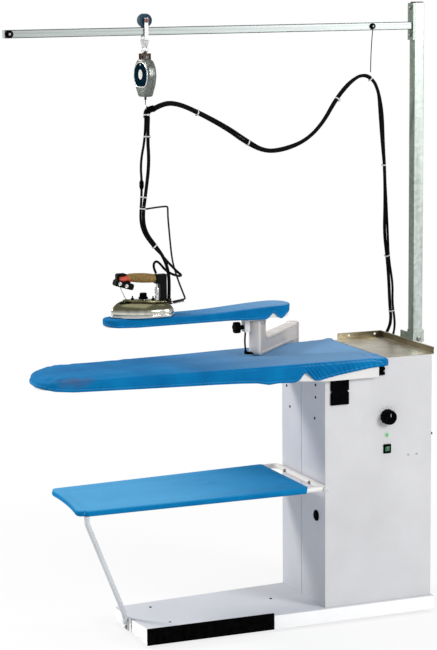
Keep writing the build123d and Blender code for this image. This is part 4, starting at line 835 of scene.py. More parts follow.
def subdivide(piece):
    """Adds one step of a subdivision surface."""
    smooth = piece.modifiers.new("smooth", "SUBSURF")
    smooth.levels = smooth.render_levels = 1


board_plan = [(-785, -188), (322, -188), (322, 198)]
board_plan += arc_points((322, 198), (315, 214), (298, 218.5), 6)
board_plan += [(298, 218.5), (-20, 165), (-480, 131)]
board_plan += arc_points((-720, 97), (-804, 31), (-848, -105), 24)
board_plan += arc_points((-848, -105), (-836, -166), (-785, -188), 10)
board_outline = even_outline(board_plan, 528, 4)
front_hem = [(-900, 864), (-845, 860), (-800, 851), (-740, 845), (-500, 838), (-260, 832), (-190, 829.5),
             (-132, 826), (-90, 817.5), (-60, 820.5), (-3, 818), (16, 824), (30, 843), (36, 848), (44, 841), (70, 820),
             (84, 818), (110, 824), (150, 831), (220, 840), (286, 848), (340, 853)]
back_hem = front_hem[:6] + [(0, 828), (200, 834), (286, 848), (340, 853)]


def board_spine(p):
    """Gives the point of the board's long middle line beside a point."""
    x = max(-700, min(200, p.x))
    return Vector((x, -30 + 0.02 * (x + 700)))


def board_hem(p):
    """Gives the hem's height on the side where a point lies."""
    return hem_height(front_hem if p.y < -110 else back_hem, p.x)


def board_top(p):
    """Gives the top's height: the padding is a little fuller toward the tip."""
    return 881.6 + 3.6 * clip((-560 - p.x) / 180) * clip((p.y + 150) / 90)


form = bmesh.new()
board_outer = draw_padded_cover(form, board_outline, board_spine, board_top, lambda p: 867.35, board_hem, 11, 5.6,
                                0.4)
board_cover = make_piece("board_cover_padded", form, board_cotton, None, sharp=180)


def board_free(at):
    """The cover's top and the outer face of its skirt are free; what is glued or tied under it is not."""
    x, y, z = at * 1000
    if z > 870:
        return 1.0
    return 0.75 if z > board_hem(Vector((x, y))) + 4 else 0.1


def board_gathers(at):
    """The skirt is gathered beside the notch and round the right end."""
    x, y, z = at * 1000
    if z > 872 or y > -170:
        return 0.0
    beside_notch = clip((x - 26) / 16) * (1 - 0.45 * clip((x - 90) / 120))
    return max(beside_notch, clip((x - 262) / 40))


def bake(piece):
    """Turns a piece's modifiers into its mesh."""
    whole = bpy.data.meshes.new_from_object(piece.evaluated_get(bpy.context.evaluated_depsgraph_get()))
    piece.modifiers.clear()
    piece.data = whole


settle_cover(board_cover, board_outer, board_free, board_gathers, 0.005, 3)
subdivide(board_cover)
bake(board_cover)
for v in board_cover.data.vertices:
    # the drawstring's gathers: folds fan out from the notch, lean less along the skirt, and puff out at
    # the right end, where the string is tied
    x, y, z = v.co * 1000
    if y < -176 and x > 26:
        amount = board_gathers(v.co) if z <= 872 else 0
        low = clip((872 - z) / 22)
        lean = 0.88 - 0.45 * clip((x - 60) / 120)
        phase = (x - lean * (871 - z)) * 2 * math.pi / (14 + 4 * clip((x - 90) / 60))
        crest = math.sin(phase) + 0.35 * math.sin(1.9 * phase + 1.3)
        v.co.y -= 0.0022 * amount * low * (crest + 0.5)
    if x > 262 and y < -110 and z > 838:
        corner = min(1, (x - 262) / 52) * min(1, (-110 - y) / 60)
        corner = corner * corner * (3 - 2 * corner)
        puffed = clip((884 - z) / 12) * clip((z - 842) / 12)
        ruffle = 0.75 + 0.25 * math.sin((x + y * 0.8 + z * 0.6) * 2 * math.pi / 15)
        v.co.x += 0.013 * corner * puffed * ruffle
        v.co.y -= 0.005 * corner * puffed * ruffle
        v.co.z -= 0.002 * corner * puffed
board_cover.data.update()
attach(board_cover, "frame")
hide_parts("board_cover")

# Hems of the covers: each skirt is turned up and sewn with a paler thread, 7 mm above its edge, in one row
# of lockstitch all the way round.
# Polyester thread: smooth and a little glossy. Stitches are 4 mm long; they're drawn 5 mm long and thick.
thread = patterned("polyester_thread", "#2f8fce", {"Roughness": 0.5, "Sheen Weight": 0.2}, "#1f7cbc", "#55a8de",
                   {"Scale": 300, "bands_direction": "DIAGONAL"}, 0.0002, 0.5, kind="Wave")


# the tree lays one pattern piece on each point of a guide, turned by the guide's normal and tangent
repeat = bpy.data.node_groups.new("repeat_on_guide", "GeometryNodeTree")
repeat.interface.new_socket("Geometry", in_out="OUTPUT", socket_type="NodeSocketGeometry")
repeat_inputs = {key: repeat.interface.new_socket(key, in_out="INPUT", socket_type="NodeSocket" + kind)
                 for key, kind in (("Guide", "Geometry"), ("Pattern", "Object"), ("Size", "Float"),
                                   ("Finish", "Material"))}
given = node(repeat, "NodeGroupInput").outputs
pattern = node(repeat, "GeometryNodeObjectInfo", {"transform_space": "ORIGINAL"}, {"Object": given["Pattern"]})
facing, heading = [node(repeat, "GeometryNodeInputNamedAttribute", {"data_type": "FLOAT_VECTOR", "Name": key})
                   .outputs["Attribute"] for key in ("facing", "heading")]
upright = node(repeat, "FunctionNodeAlignRotationToVector", {"axis": "Z"}, {"Vector": facing})
turned = node(repeat, "FunctionNodeAlignRotationToVector", {"axis": "X", "pivot_axis": "Z"},
              {"Rotation": upright, "Vector": heading})
laid = node(repeat, "GeometryNodeInstanceOnPoints", {},
            {"Points": given["Guide"], "Instance": pattern.outputs["Geometry"], "Rotation": turned,
             "Scale": given["Size"]})
real = node(repeat, "GeometryNodeRealizeInstances", {}, {"Geometry": laid})
coated = node(repeat, "GeometryNodeSetMaterial", {}, {"Geometry": real, "Material": given["Finish"]})
node(repeat, "NodeGroupOutput", {}, {"Geometry": coated})


def repeat_along(name, spots, pattern_form, material, body, size=1.0, stands_for=()):
    """Lays a small pattern, drawn in millimetres with Z outward and X ahead, at (point, facing, heading)
    spots in metres, and makes the result one plain mesh."""
    bmesh.ops.scale(pattern_form, vec=(0.001, 0.001, 0.001), verts=pattern_form.verts)
    pattern_mesh = bpy.data.meshes.new(name + "_pattern")
    pattern_form.to_mesh(pattern_mesh)
    pattern_form.free()
    pattern_mesh.shade_smooth()
    pattern_mesh.set_sharp_from_angle(angle=math.radians(40))
    pattern_object = bpy.data.objects.new(name + "_pattern", pattern_mesh)
    scene.collection.objects.link(pattern_object)
    guide = bpy.data.meshes.new(name)
    guide.from_pydata([tuple(s[0]) for s in spots], [], [])
    for key, which in (("facing", 1), ("heading", 2)):
        layer = guide.attributes.new(key, "FLOAT_VECTOR", "POINT")
        layer.data.foreach_set("vector", [c for s in spots for c in s[which]])
    holder = bpy.data.objects.new(name + "_guide", guide)
    scene.collection.objects.link(holder)
    maker = holder.modifiers.new("repeat", "NODES")
    maker.node_group = repeat
    for key, value in (("Pattern", pattern_object), ("Size", size), ("Finish", material)):
        maker[repeat_inputs[key].identifier] = value
    bpy.context.view_layer.update()
    evaluated = holder.evaluated_get(bpy.context.evaluated_depsgraph_get())
    mesh = bpy.data.meshes.new_from_object(evaluated)
    mesh.name = name
    for gone in (holder, pattern_object):
        bpy.data.objects.remove(gone)
    mesh.materials.clear()
    mesh.materials.append(material)
    return enter(name, mesh, body, stands_for)


def stitch_pattern(length=4.2, width=1.1):
    """Draws one stitch: a short thread that dips at its ends."""
    form = bmesh.new()
    path = [Vector((length * (k / 4 - 0.5), 0, 0.35 - 0.5 * abs(k / 2 - 1) ** 2)) for k in range(5)]
    draw_tube(form, path, [width * s / 2 for s in (0.5, 0.9, 1, 0.9, 0.5)], 6)
    return form


def seam_spots(cover, outline, height, reach=0.02):
    """Gives stitch spots on a cover's outer side, at a height over each point of its outline."""
    spots = []
    for k, p in enumerate(outline):
        inside = inward(outline, k)
        outside = Vector((-inside.x, -inside.y, 0))
        origin = Vector((p.x, p.y, height(p))) / 1000 + outside * reach
        hit, at, normal, _ = cover.ray_cast(origin, -outside)
        if hit:
            along = Vector((inside.y, -inside.x, 0))
            after = outline[(k + 1) % len(outline)]
            rise = (height(after) - height(p)) / max(1e-6, (after - p).length)
            spots.append((at + normal * 0.0001, normal, (along + up * rise).normalized()))
    return spots


bpy.context.view_layer.update()
board_seam = seam_spots(board_cover, even_outline(board_plan, 440, 4), lambda p: board_hem(p) + 7)
repeat_along("board_hem_stitches", board_seam, stitch_pattern(), thread, "frame")


# Sleeve arm: a bracket with an upright pin is bolted behind the cabinet, and the hollow cast arm swings on
# it over the board, with a square upright at its end. Sand-cast aluminium, dressed and painted silver grey:
# satin and a little rough from the sand; painted shade on one flank leaves its rounded edges looking brighter.
cast_grey = finish("painted_sand_cast_aluminium", "#b9b7b9", {"Roughness": 0.34, "Coat Weight": 0.5,
                                                              "Coat Roughness": 0.12})
tint(cast_grey, "#cdc7c2", "#dbd5d0", texture(cast_grey, "Noise", {"Scale": 14, "Detail": 4}))
# painted shade: the flank toward the user is darker, while its rounded edges stay light
tone_by_facing(cast_grey, (0.72, -0.69, 0), ((0.0, "#ffffff"), (0.8, "#ffffff"), (0.97, "#ccc8c7")))
relief(cast_grey, texture(cast_grey, "Noise", {"Scale": 420, "Detail": 4}), 0.0003, 0.4)
ease_node("sleeve_bracket", cast_grey, "frame", 0.8)
arm_across = Vector((0.7191, -0.6949, 0))
arm_start, arm_along = Vector((-79, -41, 0)), Vector((0.6949, 0.7191, 0))
arm_profile = [(0, 1004), (0, 903), (3, 894), (10, 888.4), (18, 887), (366, 887), (366, 945), (74, 945), (66, 947),
               (59, 954), (57, 962), (57, 1004)]
arm_profile = even_outline(arm_profile, 260, 1)


def drawn_in(outline, inset, centre, across):
    """Gives an upright outline, drawn in by an inset, about a centre; its X runs across and its Y up."""
    return [centre + across * (p.x + inward(outline, k).x * inset) + up * (p.y + inward(outline, k).y * inset)
            for k, p in enumerate(outline)]


form = bmesh.new()
arm_rings = [(16, 20.2), (12.6, 20.2), (12, 20.9), (11, 21.5), (8.4, 21.5), (5.2, 20.7), (2.6, 18.6), (0.9, 15.6),
             (0, 12)]
arm_rings += [(inset, -side) for inset, side in reversed(arm_rings)]
skin_rings(form, [drawn_in(arm_profile, inset, arm_start + arm_across * side, arm_along) for inset, side in arm_rings])
draw_turned(form, [(0, 865), (20, 865), (22, 867), (22, 943), (20, 946.4), (8, 947), (0, 947)], (175, 222, 0),
            (0, 0, 1), 48)
draw_turned(form, [(12, 1000), (12, 1012.6), (11, 1013.6), (0, 1013.7)], (-59.2, -20.5, 0), (0, 0, 1), 40)
make_piece("sleeve_arm_casting", form, cast_grey, "sleeve_arm", ["sleeve_arm"], sharp=50)
form = bmesh.new()
draw_turned(form, [(5.2, -9), (5.2, 0), (4.6, 1.4), (3.2, 2)], (-103.5, -28, 903.4), (0, 0, 1), 24)
draw_tube(form, [Vector((-103.5, -28, 897)), Vector((-94, -29, 896)), Vector((-78, -32, 896))], 4.6, 16)
make_piece("lead_elbow", form, black_rubber, "sleeve_arm", sharp=50)
ease_node("sleeve_collar", board_white, "sleeve_board", 0.5)
dress("clamp_knob", black_plastic)


# Sleeve board: a thin white sheet box with a padded cover of the same blue cotton. The iron stands on its
# flat end; the skirt is cut away under the right end, where the cover is pulled over.
ease_node("sleeve_hull", board_white, "sleeve_board", 0.6)
sleeve_plan = [(-545, -72), (-10, -87)]
sleeve_plan += arc_points((-10, -87), (47, -28), (-10, 31), 30)[1:]
sleeve_plan += [(-10, 31), (-545, 16)]
sleeve_plan += arc_points((-545, 16), (-589, -28), (-545, -72), 24)[1:]
sleeve_outline = even_outline(sleeve_plan, 330, 3)
sleeve_back_hem = [(-620, 1022), (-585, 1019), (-560, 1014.5), (-490, 1012), (-290, 1014), (-180, 1015),
                   (-60, 1012), (0, 1018), (60, 1030)]
sleeve_front_hem = sleeve_back_hem[:6] + [(-60, 1011), (-46, 1016), (-30, 1033), (-20, 1024), (-8, 1012),
                                          (4, 1012), (20, 1024), (60, 1036)]


def sleeve_top(p):
    """Gives the sleeve board's height: flat under the iron, then rising to the right end."""
    share = clip((p.x + 310) / 330)
    return 1040.9 + 14.9 * share * share * (3 - 2 * share)


def sleeve_hem(p):
    """Gives the hem's height on the side where a point lies."""
    return hem_height(sleeve_front_hem if p.y < -28 else sleeve_back_hem, p.x)


form = bmesh.new()
sleeve_outer = draw_padded_cover(form, sleeve_outline, lambda p: Vector((max(-540, min(-15, p.x)), -28)),
                                 sleeve_top, lambda p: sleeve_top(p) - 10.9, sleeve_hem, 8, 4.7, 0.0)
sleeve_cover = make_piece("sleeve_cover_padded", form, board_cotton, None, sharp=180)


def sleeve_free(at):
    """The outer cloth is free, but flat where the iron presses it and held along its hem."""
    x, y, z = at * 1000
    if z > 1036 and -575 < x < -350:
        return 0.0
    return 0.85 if z > sleeve_hem(Vector((x, y))) + 4 else 0.1


def sleeve_gathers(at):
    """The cover is gathered beside its notch and round the right end."""
    x, y, z = at * 1000
    return clip((x + 62) / 70) if z < sleeve_top(at * 1000) - 7 else 0.0


settle_cover(sleeve_cover, sleeve_outer, sleeve_free, sleeve_gathers, 0.0035, 3)
subdivide(sleeve_cover)
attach(sleeve_cover, "sleeve_board")
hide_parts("sleeve_cover")
bpy.context.view_layer.update()
sleeve_seam = seam_spots(sleeve_cover, even_outline(sleeve_plan, 270, 3), lambda p: sleeve_hem(p) + 5.5)
repeat_along("sleeve_hem_stitches", sleeve_seam, stitch_pattern(3.8, 0.9), thread, "sleeve_board")


# Clamp screw: the black moulded star knob under the sleeve board is screwed into the collar and holds the
# board where it is turned. A turned steel washer lies between them.
form = bmesh.new()
draw_turned(form, [(5.4, -130), (8.2, -129.4), (8.2, -127.6), (5.4, -127)], (0, -35, 983), (1, 0, 0), 28)
make_piece("clamp_washer", form, drawn_steel, "clamp_knob", sharp=30)


# Post and rail: a square steel tube clamped to the cabinet's right side, and a lighter square rail bolted
# to it by a flange. Hot-dip galvanised: grey with a green cast, a 12 mm spangle of crystals that shine
# differently, and dull streaks where water ran.
galvanised = finish("hot_dip_galvanised_steel", "#a9b1ac", {"Metallic": 0.85, "Roughness": 0.42})
spangle = texture(galvanised, "Voronoi", {"Scale": 85})
streaks = texture(galvanised, "Noise", {"Scale": 1.0, "Detail": 5}, (55, 55, 2.5))
weathered = node(galvanised, "Math", {"operation": "MULTIPLY_ADD", 1: 0.35}, {0: spangle.outputs["Color"], 2: streaks})
tint(galvanised, "#8f9893", "#bbc2bd", weathered, (0.4, 0.95))
# painted shade: its left face is darker and a little greener than its front
tone_by_facing(galvanised, (-1, 0, 0), ((0.0, "#ffffff"), (0.55, "#ffffff"), (0.85, "#a9b3a8"), (1.0, "#a9b3a8")))
shine(galvanised, 0.34, 0.55, weathered)
relief(galvanised, spangle, 0.0002, 0.25)
ease_node("post", galvanised, "frame", 0.6, 60)
ease_node("frame_brackets", galvanised, "frame", 0.8)

# The rail is electro-galvanised: an even, pale bluish grey, drawn along its length.
rail_zinc = finish("zinc_plated_rail_tube", "#9aa3a0", {"Metallic": 0.5, "Roughness": 0.4})
lines = texture(rail_zinc, "Noise", {"Scale": 1.0, "Detail": 4}, (3, 300, 300))
tint(rail_zinc, "#929997", "#a9afad", lines)
# painted dark reflection on the rounded corners, which draws a dark line along the rail's upper and lower edge
tone_by_facing(rail_zinc, (0, 0, 1), ((0.0, "#ffffff"), (0.04, "#5a6462"), (0.4, "#5a6462"), (0.48, "#ffffff"),
                                      (0.52, "#ffffff"), (0.6, "#5a6462"), (0.96, "#5a6462"), (1.0, "#ffffff")))
relief(rail_zinc, lines, 0.0001, 0.4)
dress("rail", rail_zinc)
ease_node("rail_stops", black_rubber, "frame", 0.8)

# Post cap: a black moulded plug pressed into the open top, flush but for its domed lid.
form = bmesh.new()
cap = bmesh.ops.create_cube(form, size=1)["verts"]
for v in cap:
    v.co = Vector((532 + v.co.x * (35 if v.co.z < 0 else 29), 14 + v.co.y * (35 if v.co.z < 0 else 29),
                   2010.6 + v.co.z * 3))
bmesh.ops.bevel(form, geom=list(form.edges), offset=0.8, segments=2, affect="EDGES")
make_piece("post_cap", form, black_plastic, "frame")

# Stop screws: a bright pan-head screw through the end stop and another through the strap's stop.
form = bmesh.new()
draw_turned(form, [(4.2, 0), (4.0, 1.6), (2.8, 2.6), (1.2, 2.9), (1.0, 1.6), (0, 1.6)], (-867, -8.6, 1929),
            (0, -1, 0), 24)
draw_turned(form, [(3.6, 0), (3.4, 1.4), (2.2, 2.2), (0.9, 2.4), (0.8, 1.3), (0, 1.3)], (363, -4.6, 1935),
            (0, -1, 0), 24)
make_piece("stop_screws", form, drawn_steel, "frame")

# Hexagon bolts: zinc-plated heads with chamfered corners on plain washers, one pattern for all nine.
def bolt_pattern(across, height):
    """Draws a hexagon head on its washer."""
    form = bmesh.new()
    draw_turned(form, [(across * 0.62, 0), (across * 0.62, 1.1), (across * 0.58, 1.5), (across * 0.4, 1.5)],
                (0, 0, 0), (0, 0, 1), 28)
    draw_turned(form, [(across * 0.577, 1.4), (across * 0.577, height - 0.9), (across * 0.5, height - 0.1),
                       (across * 0.42, height), (0, height)], (0, 0, 0), (0, 0, 1), 6)
    return form


zinc_bolt = patterned("zinc_plated_bolt", "#9fa0a0", {"Metallic": 0.9, "Roughness": 0.38}, "#5f5e59", "#a3a4a3",
                      {"Scale": 160, "Detail": 4})
big = [((508, 14, 1905), (-1, 0, 0)), ((508, 14, 1993), (-1, 0, 0))]
for bolt_z in (525, 896):
    big += [((514, 62, bolt_z), (1, 0, 0)), ((534, -8, bolt_z), (0, -1, 0))]
small = [((98, 116, 460), (-1, 0, 0)), ((98, -79, 460), (-1, 0, 0)), ((-515, 5, 23), (-1, 0, 0))]
repeat_along("bolt_heads", [(Vector(p) / 1000, f, (0, 0, 1)) for p, f in big], bolt_pattern(13, 6), zinc_bolt,
             "frame", stands_for=["frame_bolts"])
repeat_along("small_bolt_heads", [(Vector(p) / 1000, f, (0, 0, 1)) for p, f in small], bolt_pattern(10, 5),
             zinc_bolt, "frame")

# Pan-head screws: blackened, cross recessed, in the base and the side panels.
form = bmesh.new()
draw_turned(form, [(4.5, 0), (4.45, 0.7), (3.9, 1.6), (2.8, 2.2), (1.6, 2.4), (0, 2.45)], (0, 0, 0), (0, 0, 1), 20)
for turn in (0, 90):
    arm = Vector((math.cos(math.radians(turn)), math.sin(math.radians(turn)), 0))
    draw_brick(form, Vector((0, 0, 2.35)), [arm, Vector((-arm.y, arm.x, 0)), up], [2.2, 0.35, 0.25], 0.1)
screw_spots = [((x, y, 56), (0, 0, 1)) for x, y in ((-404, 78), (-407, -107), (-3, 10))]
screw_spots += [((116, y, z), (-1, 0, 0)) for y, z in ((139, 745), (113, 678), (-90, 744), (-90, 785), (-83, 674))]
repeat_along("screw_heads", [(Vector(p) / 1000, f, (0.3, 0.5, 0.8)) for p, f in screw_spots], form, black_plastic,
             "frame", stands_for=["pan_screws"])


# Trolley: two bright strap plates hang from an axle whose wheel rolls on the rail, over a cast swivel block
# with a ring. The wheel is blue-black nylon with a steel hub washer and a red-brown nut on the axle's end.
plated_strap = patterned("nickel_plated_strap", "#c9cac8", {"Metallic": 0.75, "Roughness": 0.35}, "#b0b1af",
                         "#dcdddb", {"Scale": 120, "Detail": 5}, 0.0002, 0.3)
ease_node("trolley_frame", plated_strap, "trolley", 0.5)

blue_nylon = patterned("turned_blue_black_nylon", "#101a26", {"Roughness": 0.5, "Specular IOR Level": 0.2}, "#0b2332",
                       "#1f475c", {"Scale": 260, "Detail": 3}, 0.0001, 0.4)
wheel_z = 1964.608
form = bmesh.new()
wheel_profile = [(4.1, 14), (9, 14), (9.6, 12.6), (15.4, 12.6), (16.2, 13.8), (19, 14), (20.6, 12.4), (21, 11),
                 (21, -11), (20.6, -12.4), (19, -14), (16.2, -13.8), (15.4, -12.6), (9.6, -12.6), (9, -14),
                 (4.1, -14)]
draw_turned(form, wheel_profile, (-422, 14, wheel_z), (0, -1, 0), 56, close=False)
draw_turned(form, [(4.1, -14), (4.1, 14)], (-422, 14, wheel_z), (0, -1, 0), 56, close=False)
bmesh.ops.remove_doubles(form, verts=form.verts, dist=0.001)
for dimple in circle(Vector((-422, 14, wheel_z)), along_x * 12.5, up * 12.5, 5):
    # shallow moulded dimples between hub and rim
    draw_turned(form, [(2.0, 12.5), (2.0, 13.0), (1.2, 13.2), (0, 13.2)], dimple, (0, -1, 0), 14)
bmesh.ops.recalc_face_normals(form, faces=form.faces)
make_piece("trolley_wheel_turned", form, blue_nylon, "trolley_wheel", ["trolley_wheel"], sharp=30)

oxide_nut = patterned("red_oxide_nut", "#7c4038", {"Metallic": 0.3, "Roughness": 0.5}, "#5e332e", "#94574c",
                      {"Scale": 300, "Detail": 5}, 0.0002, 0.5)
form = bmesh.new()
draw_turned(form, [(7.2, 20.6), (7.2, 23.4), (6.2, 24.4), (3.4, 24.4)], (-422, 14, wheel_z), (0, -1, 0), 6)
draw_turned(form, [(3.2, 24.2), (3.2, 25.4), (2.4, 26), (0, 26)], (-422, 14, wheel_z), (0, -1, 0), 18)
make_piece("axle_nut", form, oxide_nut, "trolley", sharp=30)


# Spring balancer: a drum of flat spring in a shield-shaped die casting, hung from the swivel's ring. Hammer
# enamel: silver grey, its 4 mm pools ringed by darker lines, glossy in the hollows.
hammered = patterned("hammer_finish_enamel", "#8f918f", {"Metallic": 0.55, "Roughness": 0.34}, "#737873", "#434844",
                     {"Scale": 230, "feature": "SMOOTH_F1"}, 0.0008, 0.6, kind="Voronoi", position=(0.25, 0.75))
face_out = Vector((-0.975, -0.222, 0)).normalized()
face_across = Vector((0.222, -0.975, 0)).normalized()
balancer_centre = Vector((-422, 14, 1797))
shield = [(0, 64), (-12, 64), (-14, 50), (-25, 45), (-40, 22), (-44, -4), (-38, -32), (-26, -56), (-19, -70), (0, -70)]
shield += [(-x, z) for x, z in reversed(shield[1:-1])]
shield = even_outline(shield, 120, 3)


def shield_ring(inset, depth):
    """Gives the casting's outline drawn in by an inset, at a depth; the neck above is thinner."""
    return [v + face_out * depth * (1 - 0.42 * clip((p.y - 42) / 8))
            for v, p in zip(drawn_in(shield, inset, balancer_centre, -face_across), shield)]


form = bmesh.new()
skin_rings(form, [shield_ring(*ring) for ring in (
    (9, -16), (4.5, -16), (2.2, -15), (0.7, -12.6), (0.1, -9.5), (0, -3.0), (0.9, -2.4), (0.9, -1.6), (0, -1.0),
    (0.1, 9.5), (0.7, 12.6), (2.2, 15), (4.5, 16), (9, 16))])
for side in (-1, 1):
    # slotted heads of the two lower case screws
    draw_turned(form, [(3.4, 15), (3.4, 16.8), (2.6, 17.6), (0, 17.7)],
                balancer_centre + face_across * side * 14 - up * 52, face_out, 20)
make_piece("balancer_housing", form, hammered, "trolley", ["balancer_body"], sharp=50)

# Neck of the balancer: a brass-brown swivel neck with a thin split ring that hooks into the trolley's ring.
neck_brass = patterned("browned_brass", "#8d7c63", {"Metallic": 0.8, "Roughness": 0.4}, "#1b1512", "#43352e",
                       {"Scale": 190, "Detail": 5}, 0.0002, 0.4)
form = bmesh.new()
draw_brick(form, balancer_centre + up * 55.5, [face_out, face_across, up], [9.6, 13, 7])
draw_turned(form, [(7, 62), (8.2, 63), (8.2, 65.4), (7.4, 66.4), (5.4, 67), (5.2, 71), (4.2, 72), (0, 72)],
            balancer_centre, (0, 0, 1), 28)
draw_turned(form, [(3.6, 8.5), (3.6, 11.6), (2.8, 12.4), (0, 12.5)], balancer_centre + up * 55, face_out, 20)
make_piece("balancer_neck", form, neck_brass, "trolley", sharp=40)

# Dial plate of the balancer: a bright rim round a dark blue dish with a blank oval plate and one screw.
bright_rim = patterned("bright_nickel", "#d2d3d2", {"Metallic": 0.9, "Roughness": 0.25}, "#bdbebe", "#e2e2e1",
                       {"Scale": 150, "Detail": 5}, 0.0001, 0.3)
blue_dish = patterned("dark_blue_enamel_dish", "#0b1a26", {"Roughness": 0.6, "Specular IOR Level": 0.0}, "#04141d",
                      "#0a2431", {"Scale": 90, "Detail": 4}, 0.0001, 0.3)
dial_centre = balancer_centre + face_out * 16
face_plan = [(0, 41.5), (-21, 36), (-36, 19), (-39.5, -4), (-36, -22), (-29, -35), (-22, -39.5), (0, -41)]
face_plan += [(-x, z) for x, z in reversed(face_plan[1:-1])]
face_plan = even_outline(face_plan, 96, 5)


def face_rings(*rings):
    """Gives the dial plate's outline drawn in by insets, at depths in front of the casting."""
    return [drawn_in(face_plan, inset, dial_centre + face_out * depth, -face_across) for inset, depth in rings]


form = bmesh.new()
skin_rings(form, face_rings((3, -0.9), (0, -0.9), (0, 1.2), (0.6, 1.9), (2.4, 2.1), (3.1, 1.6), (3.2, 0.2), (6, 0.1)))
make_piece("balancer_rim", form, bright_rim, "trolley", ["balancer_face"], sharp=50)
form = bmesh.new()
skin_rings(form, face_rings((3.3, 0.15), (3.3, 0.7), (8, 0.9), (16, 1.4), (24, 1.6), (30, 1.7)))
make_piece("balancer_dish", form, blue_dish, "trolley", sharp=60)
form = bmesh.new()
skin_rings(form, [circle(dial_centre + face_out * depth, face_across * wide, up * high, 40)
                  for wide, high, depth in ((11.5, 15.5, 1.4), (11.5, 15.5, 2.1), (11, 15, 2.4), (10, 14, 2.2))])
draw_turned(form, [(2.8, 0.9), (2.8, 1.8), (2, 2.3), (0, 2.4)], dial_centre + up * 31, face_out, 20)
make_piece("balancer_plate", form, tie_nylon, "trolley", sharp=50)

# Steel rope: seven dark oiled strands, laid to the right; the lay is 4 mm and drawn at 8 mm.
steel_rope = patterned("oiled_steel_rope", "#2c2c2b", {"Metallic": 0.5, "Roughness": 0.6, "Specular IOR Level": 0.1},
                       "#151514", "#3f3e3c", {"Scale": 40, "bands_direction": "DIAGONAL"}, 0.0003, 0.6, kind="Wave")
dress("balancer_wire", steel_rope)

# Split ring between the swivel's ring and the balancer's neck.
form = bmesh.new()
draw_tube(form, circle(Vector((-422, 14, 1865.5)), Vector((5.044, 1.144, 0)), up * 6.5, 36, 1), 1.1, 10)
make_piece("split_ring", form, drawn_steel, "trolley", sharp=60)


# Saddle of the hoses: at the balancer's hook the hose and the cable turn down side by side inside a ribbed
# rubber sleeve, held by a white tie, with a steel eye for the wire.
saddle_path = route("saddle", [(-393, 15, 1690.5), (-404, 15, 1688.5), (-413, 15, 1685), (-418, 14.6, 1678),
                               (-419, 14.2, 1669), (-419, 14, 1661)])
radii = [0.0103 + 0.0007 * math.sin(k * 1.9) - (0.0022 if k in (0, len(saddle_path) - 1) else 0)
         for k in range(len(saddle_path))]
form = bmesh.new()
draw_tube(form, saddle_path, radii, 24)
make_piece("hose_saddle", form, black_rubber, "trolley", ["hose_clamp"], sharp=60, size=1)
form = bmesh.new()
eye = circle(Vector((-0.4185, 0.0142, 1.6925)), Vector((0.00372, 0.00496, 0)), up * 0.0062, 32, 1)
draw_tube(form, eye, 0.0012, 10)
make_piece("saddle_eye", form, drawn_steel, "trolley", size=1, sharp=60)
form = bmesh.new()
tie_centre = Vector((-0.4188, 0.0143, 1.6715))
draw_band(form, circle(tie_centre, along_x * 0.0112, along_y * 0.0112, 28), up, 0.0042, 0.0012, tie_centre)
draw_brick(form, Vector((-0.4188, 0.0015, 1.6715)), square, [0.003, 0.0024, 0.003])
make_piece("saddle_tie", form, tie_nylon, "trolley", size=1)


# Garment shelf: one bent steel tube bolted along the cabinet, a cloth of blue cotton hemmed over it front,
# back and left, and a flattened leg down to the base. The tube and the leg are enamelled near white.
tube_enamel = powder_coat("tube_enamel", "#d5d3d0", "#e2e1de", 0.35)
dress("shelf_frame", tube_enamel)
leg_enamel = powder_coat("leg_enamel", "#babdc0", "#cbced1", 0.35)
dress("shelf_leg", leg_enamel)

# Blue plain-weave cotton: flatter and brighter than the covers, with the same painted light on top, here paler toward
# its left end.
shelf_cotton = cotton("blue_plain_weave_cotton", "#016fac", "#057eb8", "#59abdb", 0.02, (1.0, 0.0))
cloth_plan = [(48, -178), (48, 196.7), (-300, 171), (-690, 142.6)]
cloth_plan += arc_points((-690, 142.6), (-716, 132), (-719, 110), 10)[1:]
cloth_plan += arc_points((-719, 110), (-719, 10), (-735, -150), 24)
cloth_plan += arc_points((-735, -150), (-732, -170), (-714, -178), 8)
cloth_plan += [(-714, -178), (-300, -178)]
cloth_outline = even_outline(cloth_plan, 460, 2)


def right_share(p):
    """1 on the cloth's right edge, which has a flat hem, and 0 on the edges wrapped round the tube."""
    return clip((p.x - 40) / 7)


def cloth_ring(turn):
    """Gives the cloth's ring at an angle round the tube; on the right edge it turns under flat."""
    ring = []
    angle = math.radians(turn)
    for k, p in enumerate(cloth_outline):
        inside = inward(cloth_outline, k)
        flat = right_share(p)
        radius = 10.9
        # the outline is over the tube's centre at the front and back, and 10 mm outside it at the left
        left = clip((-705 - p.x) / 8)
        offset = inside * (10.0 * left)
        round_it = p + offset - inside * radius * math.sin(angle)
        round_z = 460 + radius * math.cos(angle)
        flat_at = p + inside * (0.9 - 0.9 * math.sin(angle) + (3 * max(0, turn - 90) / 90))
        flat_z = 470.9 - 1.6 * min(1, turn / 120) * 2
        ring.append(Vector((*(round_it.lerp(flat_at, flat)), round_z * (1 - flat) + flat_z * flat)))
    return ring


def cloth_height(p):
    """Gives the stretched cloth's height: a shallow sag, with drag lines near the front right bolt."""
    from_front = clip((p.y + 178) / 60)
    from_back = clip((172 + 0.07 * p.x - p.y) / 60)
    from_left = clip((p.x + 725) / 60)
    sag = 2.2 * from_front * from_back * from_left
    drag = 0.0
    for start, reach, angle, depth in ((-150, 120, 0.5, 1.0), (-95, 110, 0.6, 1.2), (-45, 95, 0.75, 0.9),
                                       (-200, 110, 0.42, 0.7)):
        along = (p.x - start) * math.cos(angle) + (p.y + 178) * math.sin(angle)
        off = -(p.x - start) * math.sin(angle) + (p.y + 178) * math.cos(angle)
        if 0 < along < reach:
            drag += depth * math.sin(math.pi * along / reach) * math.exp(-(off / 5.5) ** 2)
    swell = 0.5 * noise.noise(Vector((p.x, p.y, 0)) / 70)
    return 470.9 - sag + drag + swell * from_front * from_back


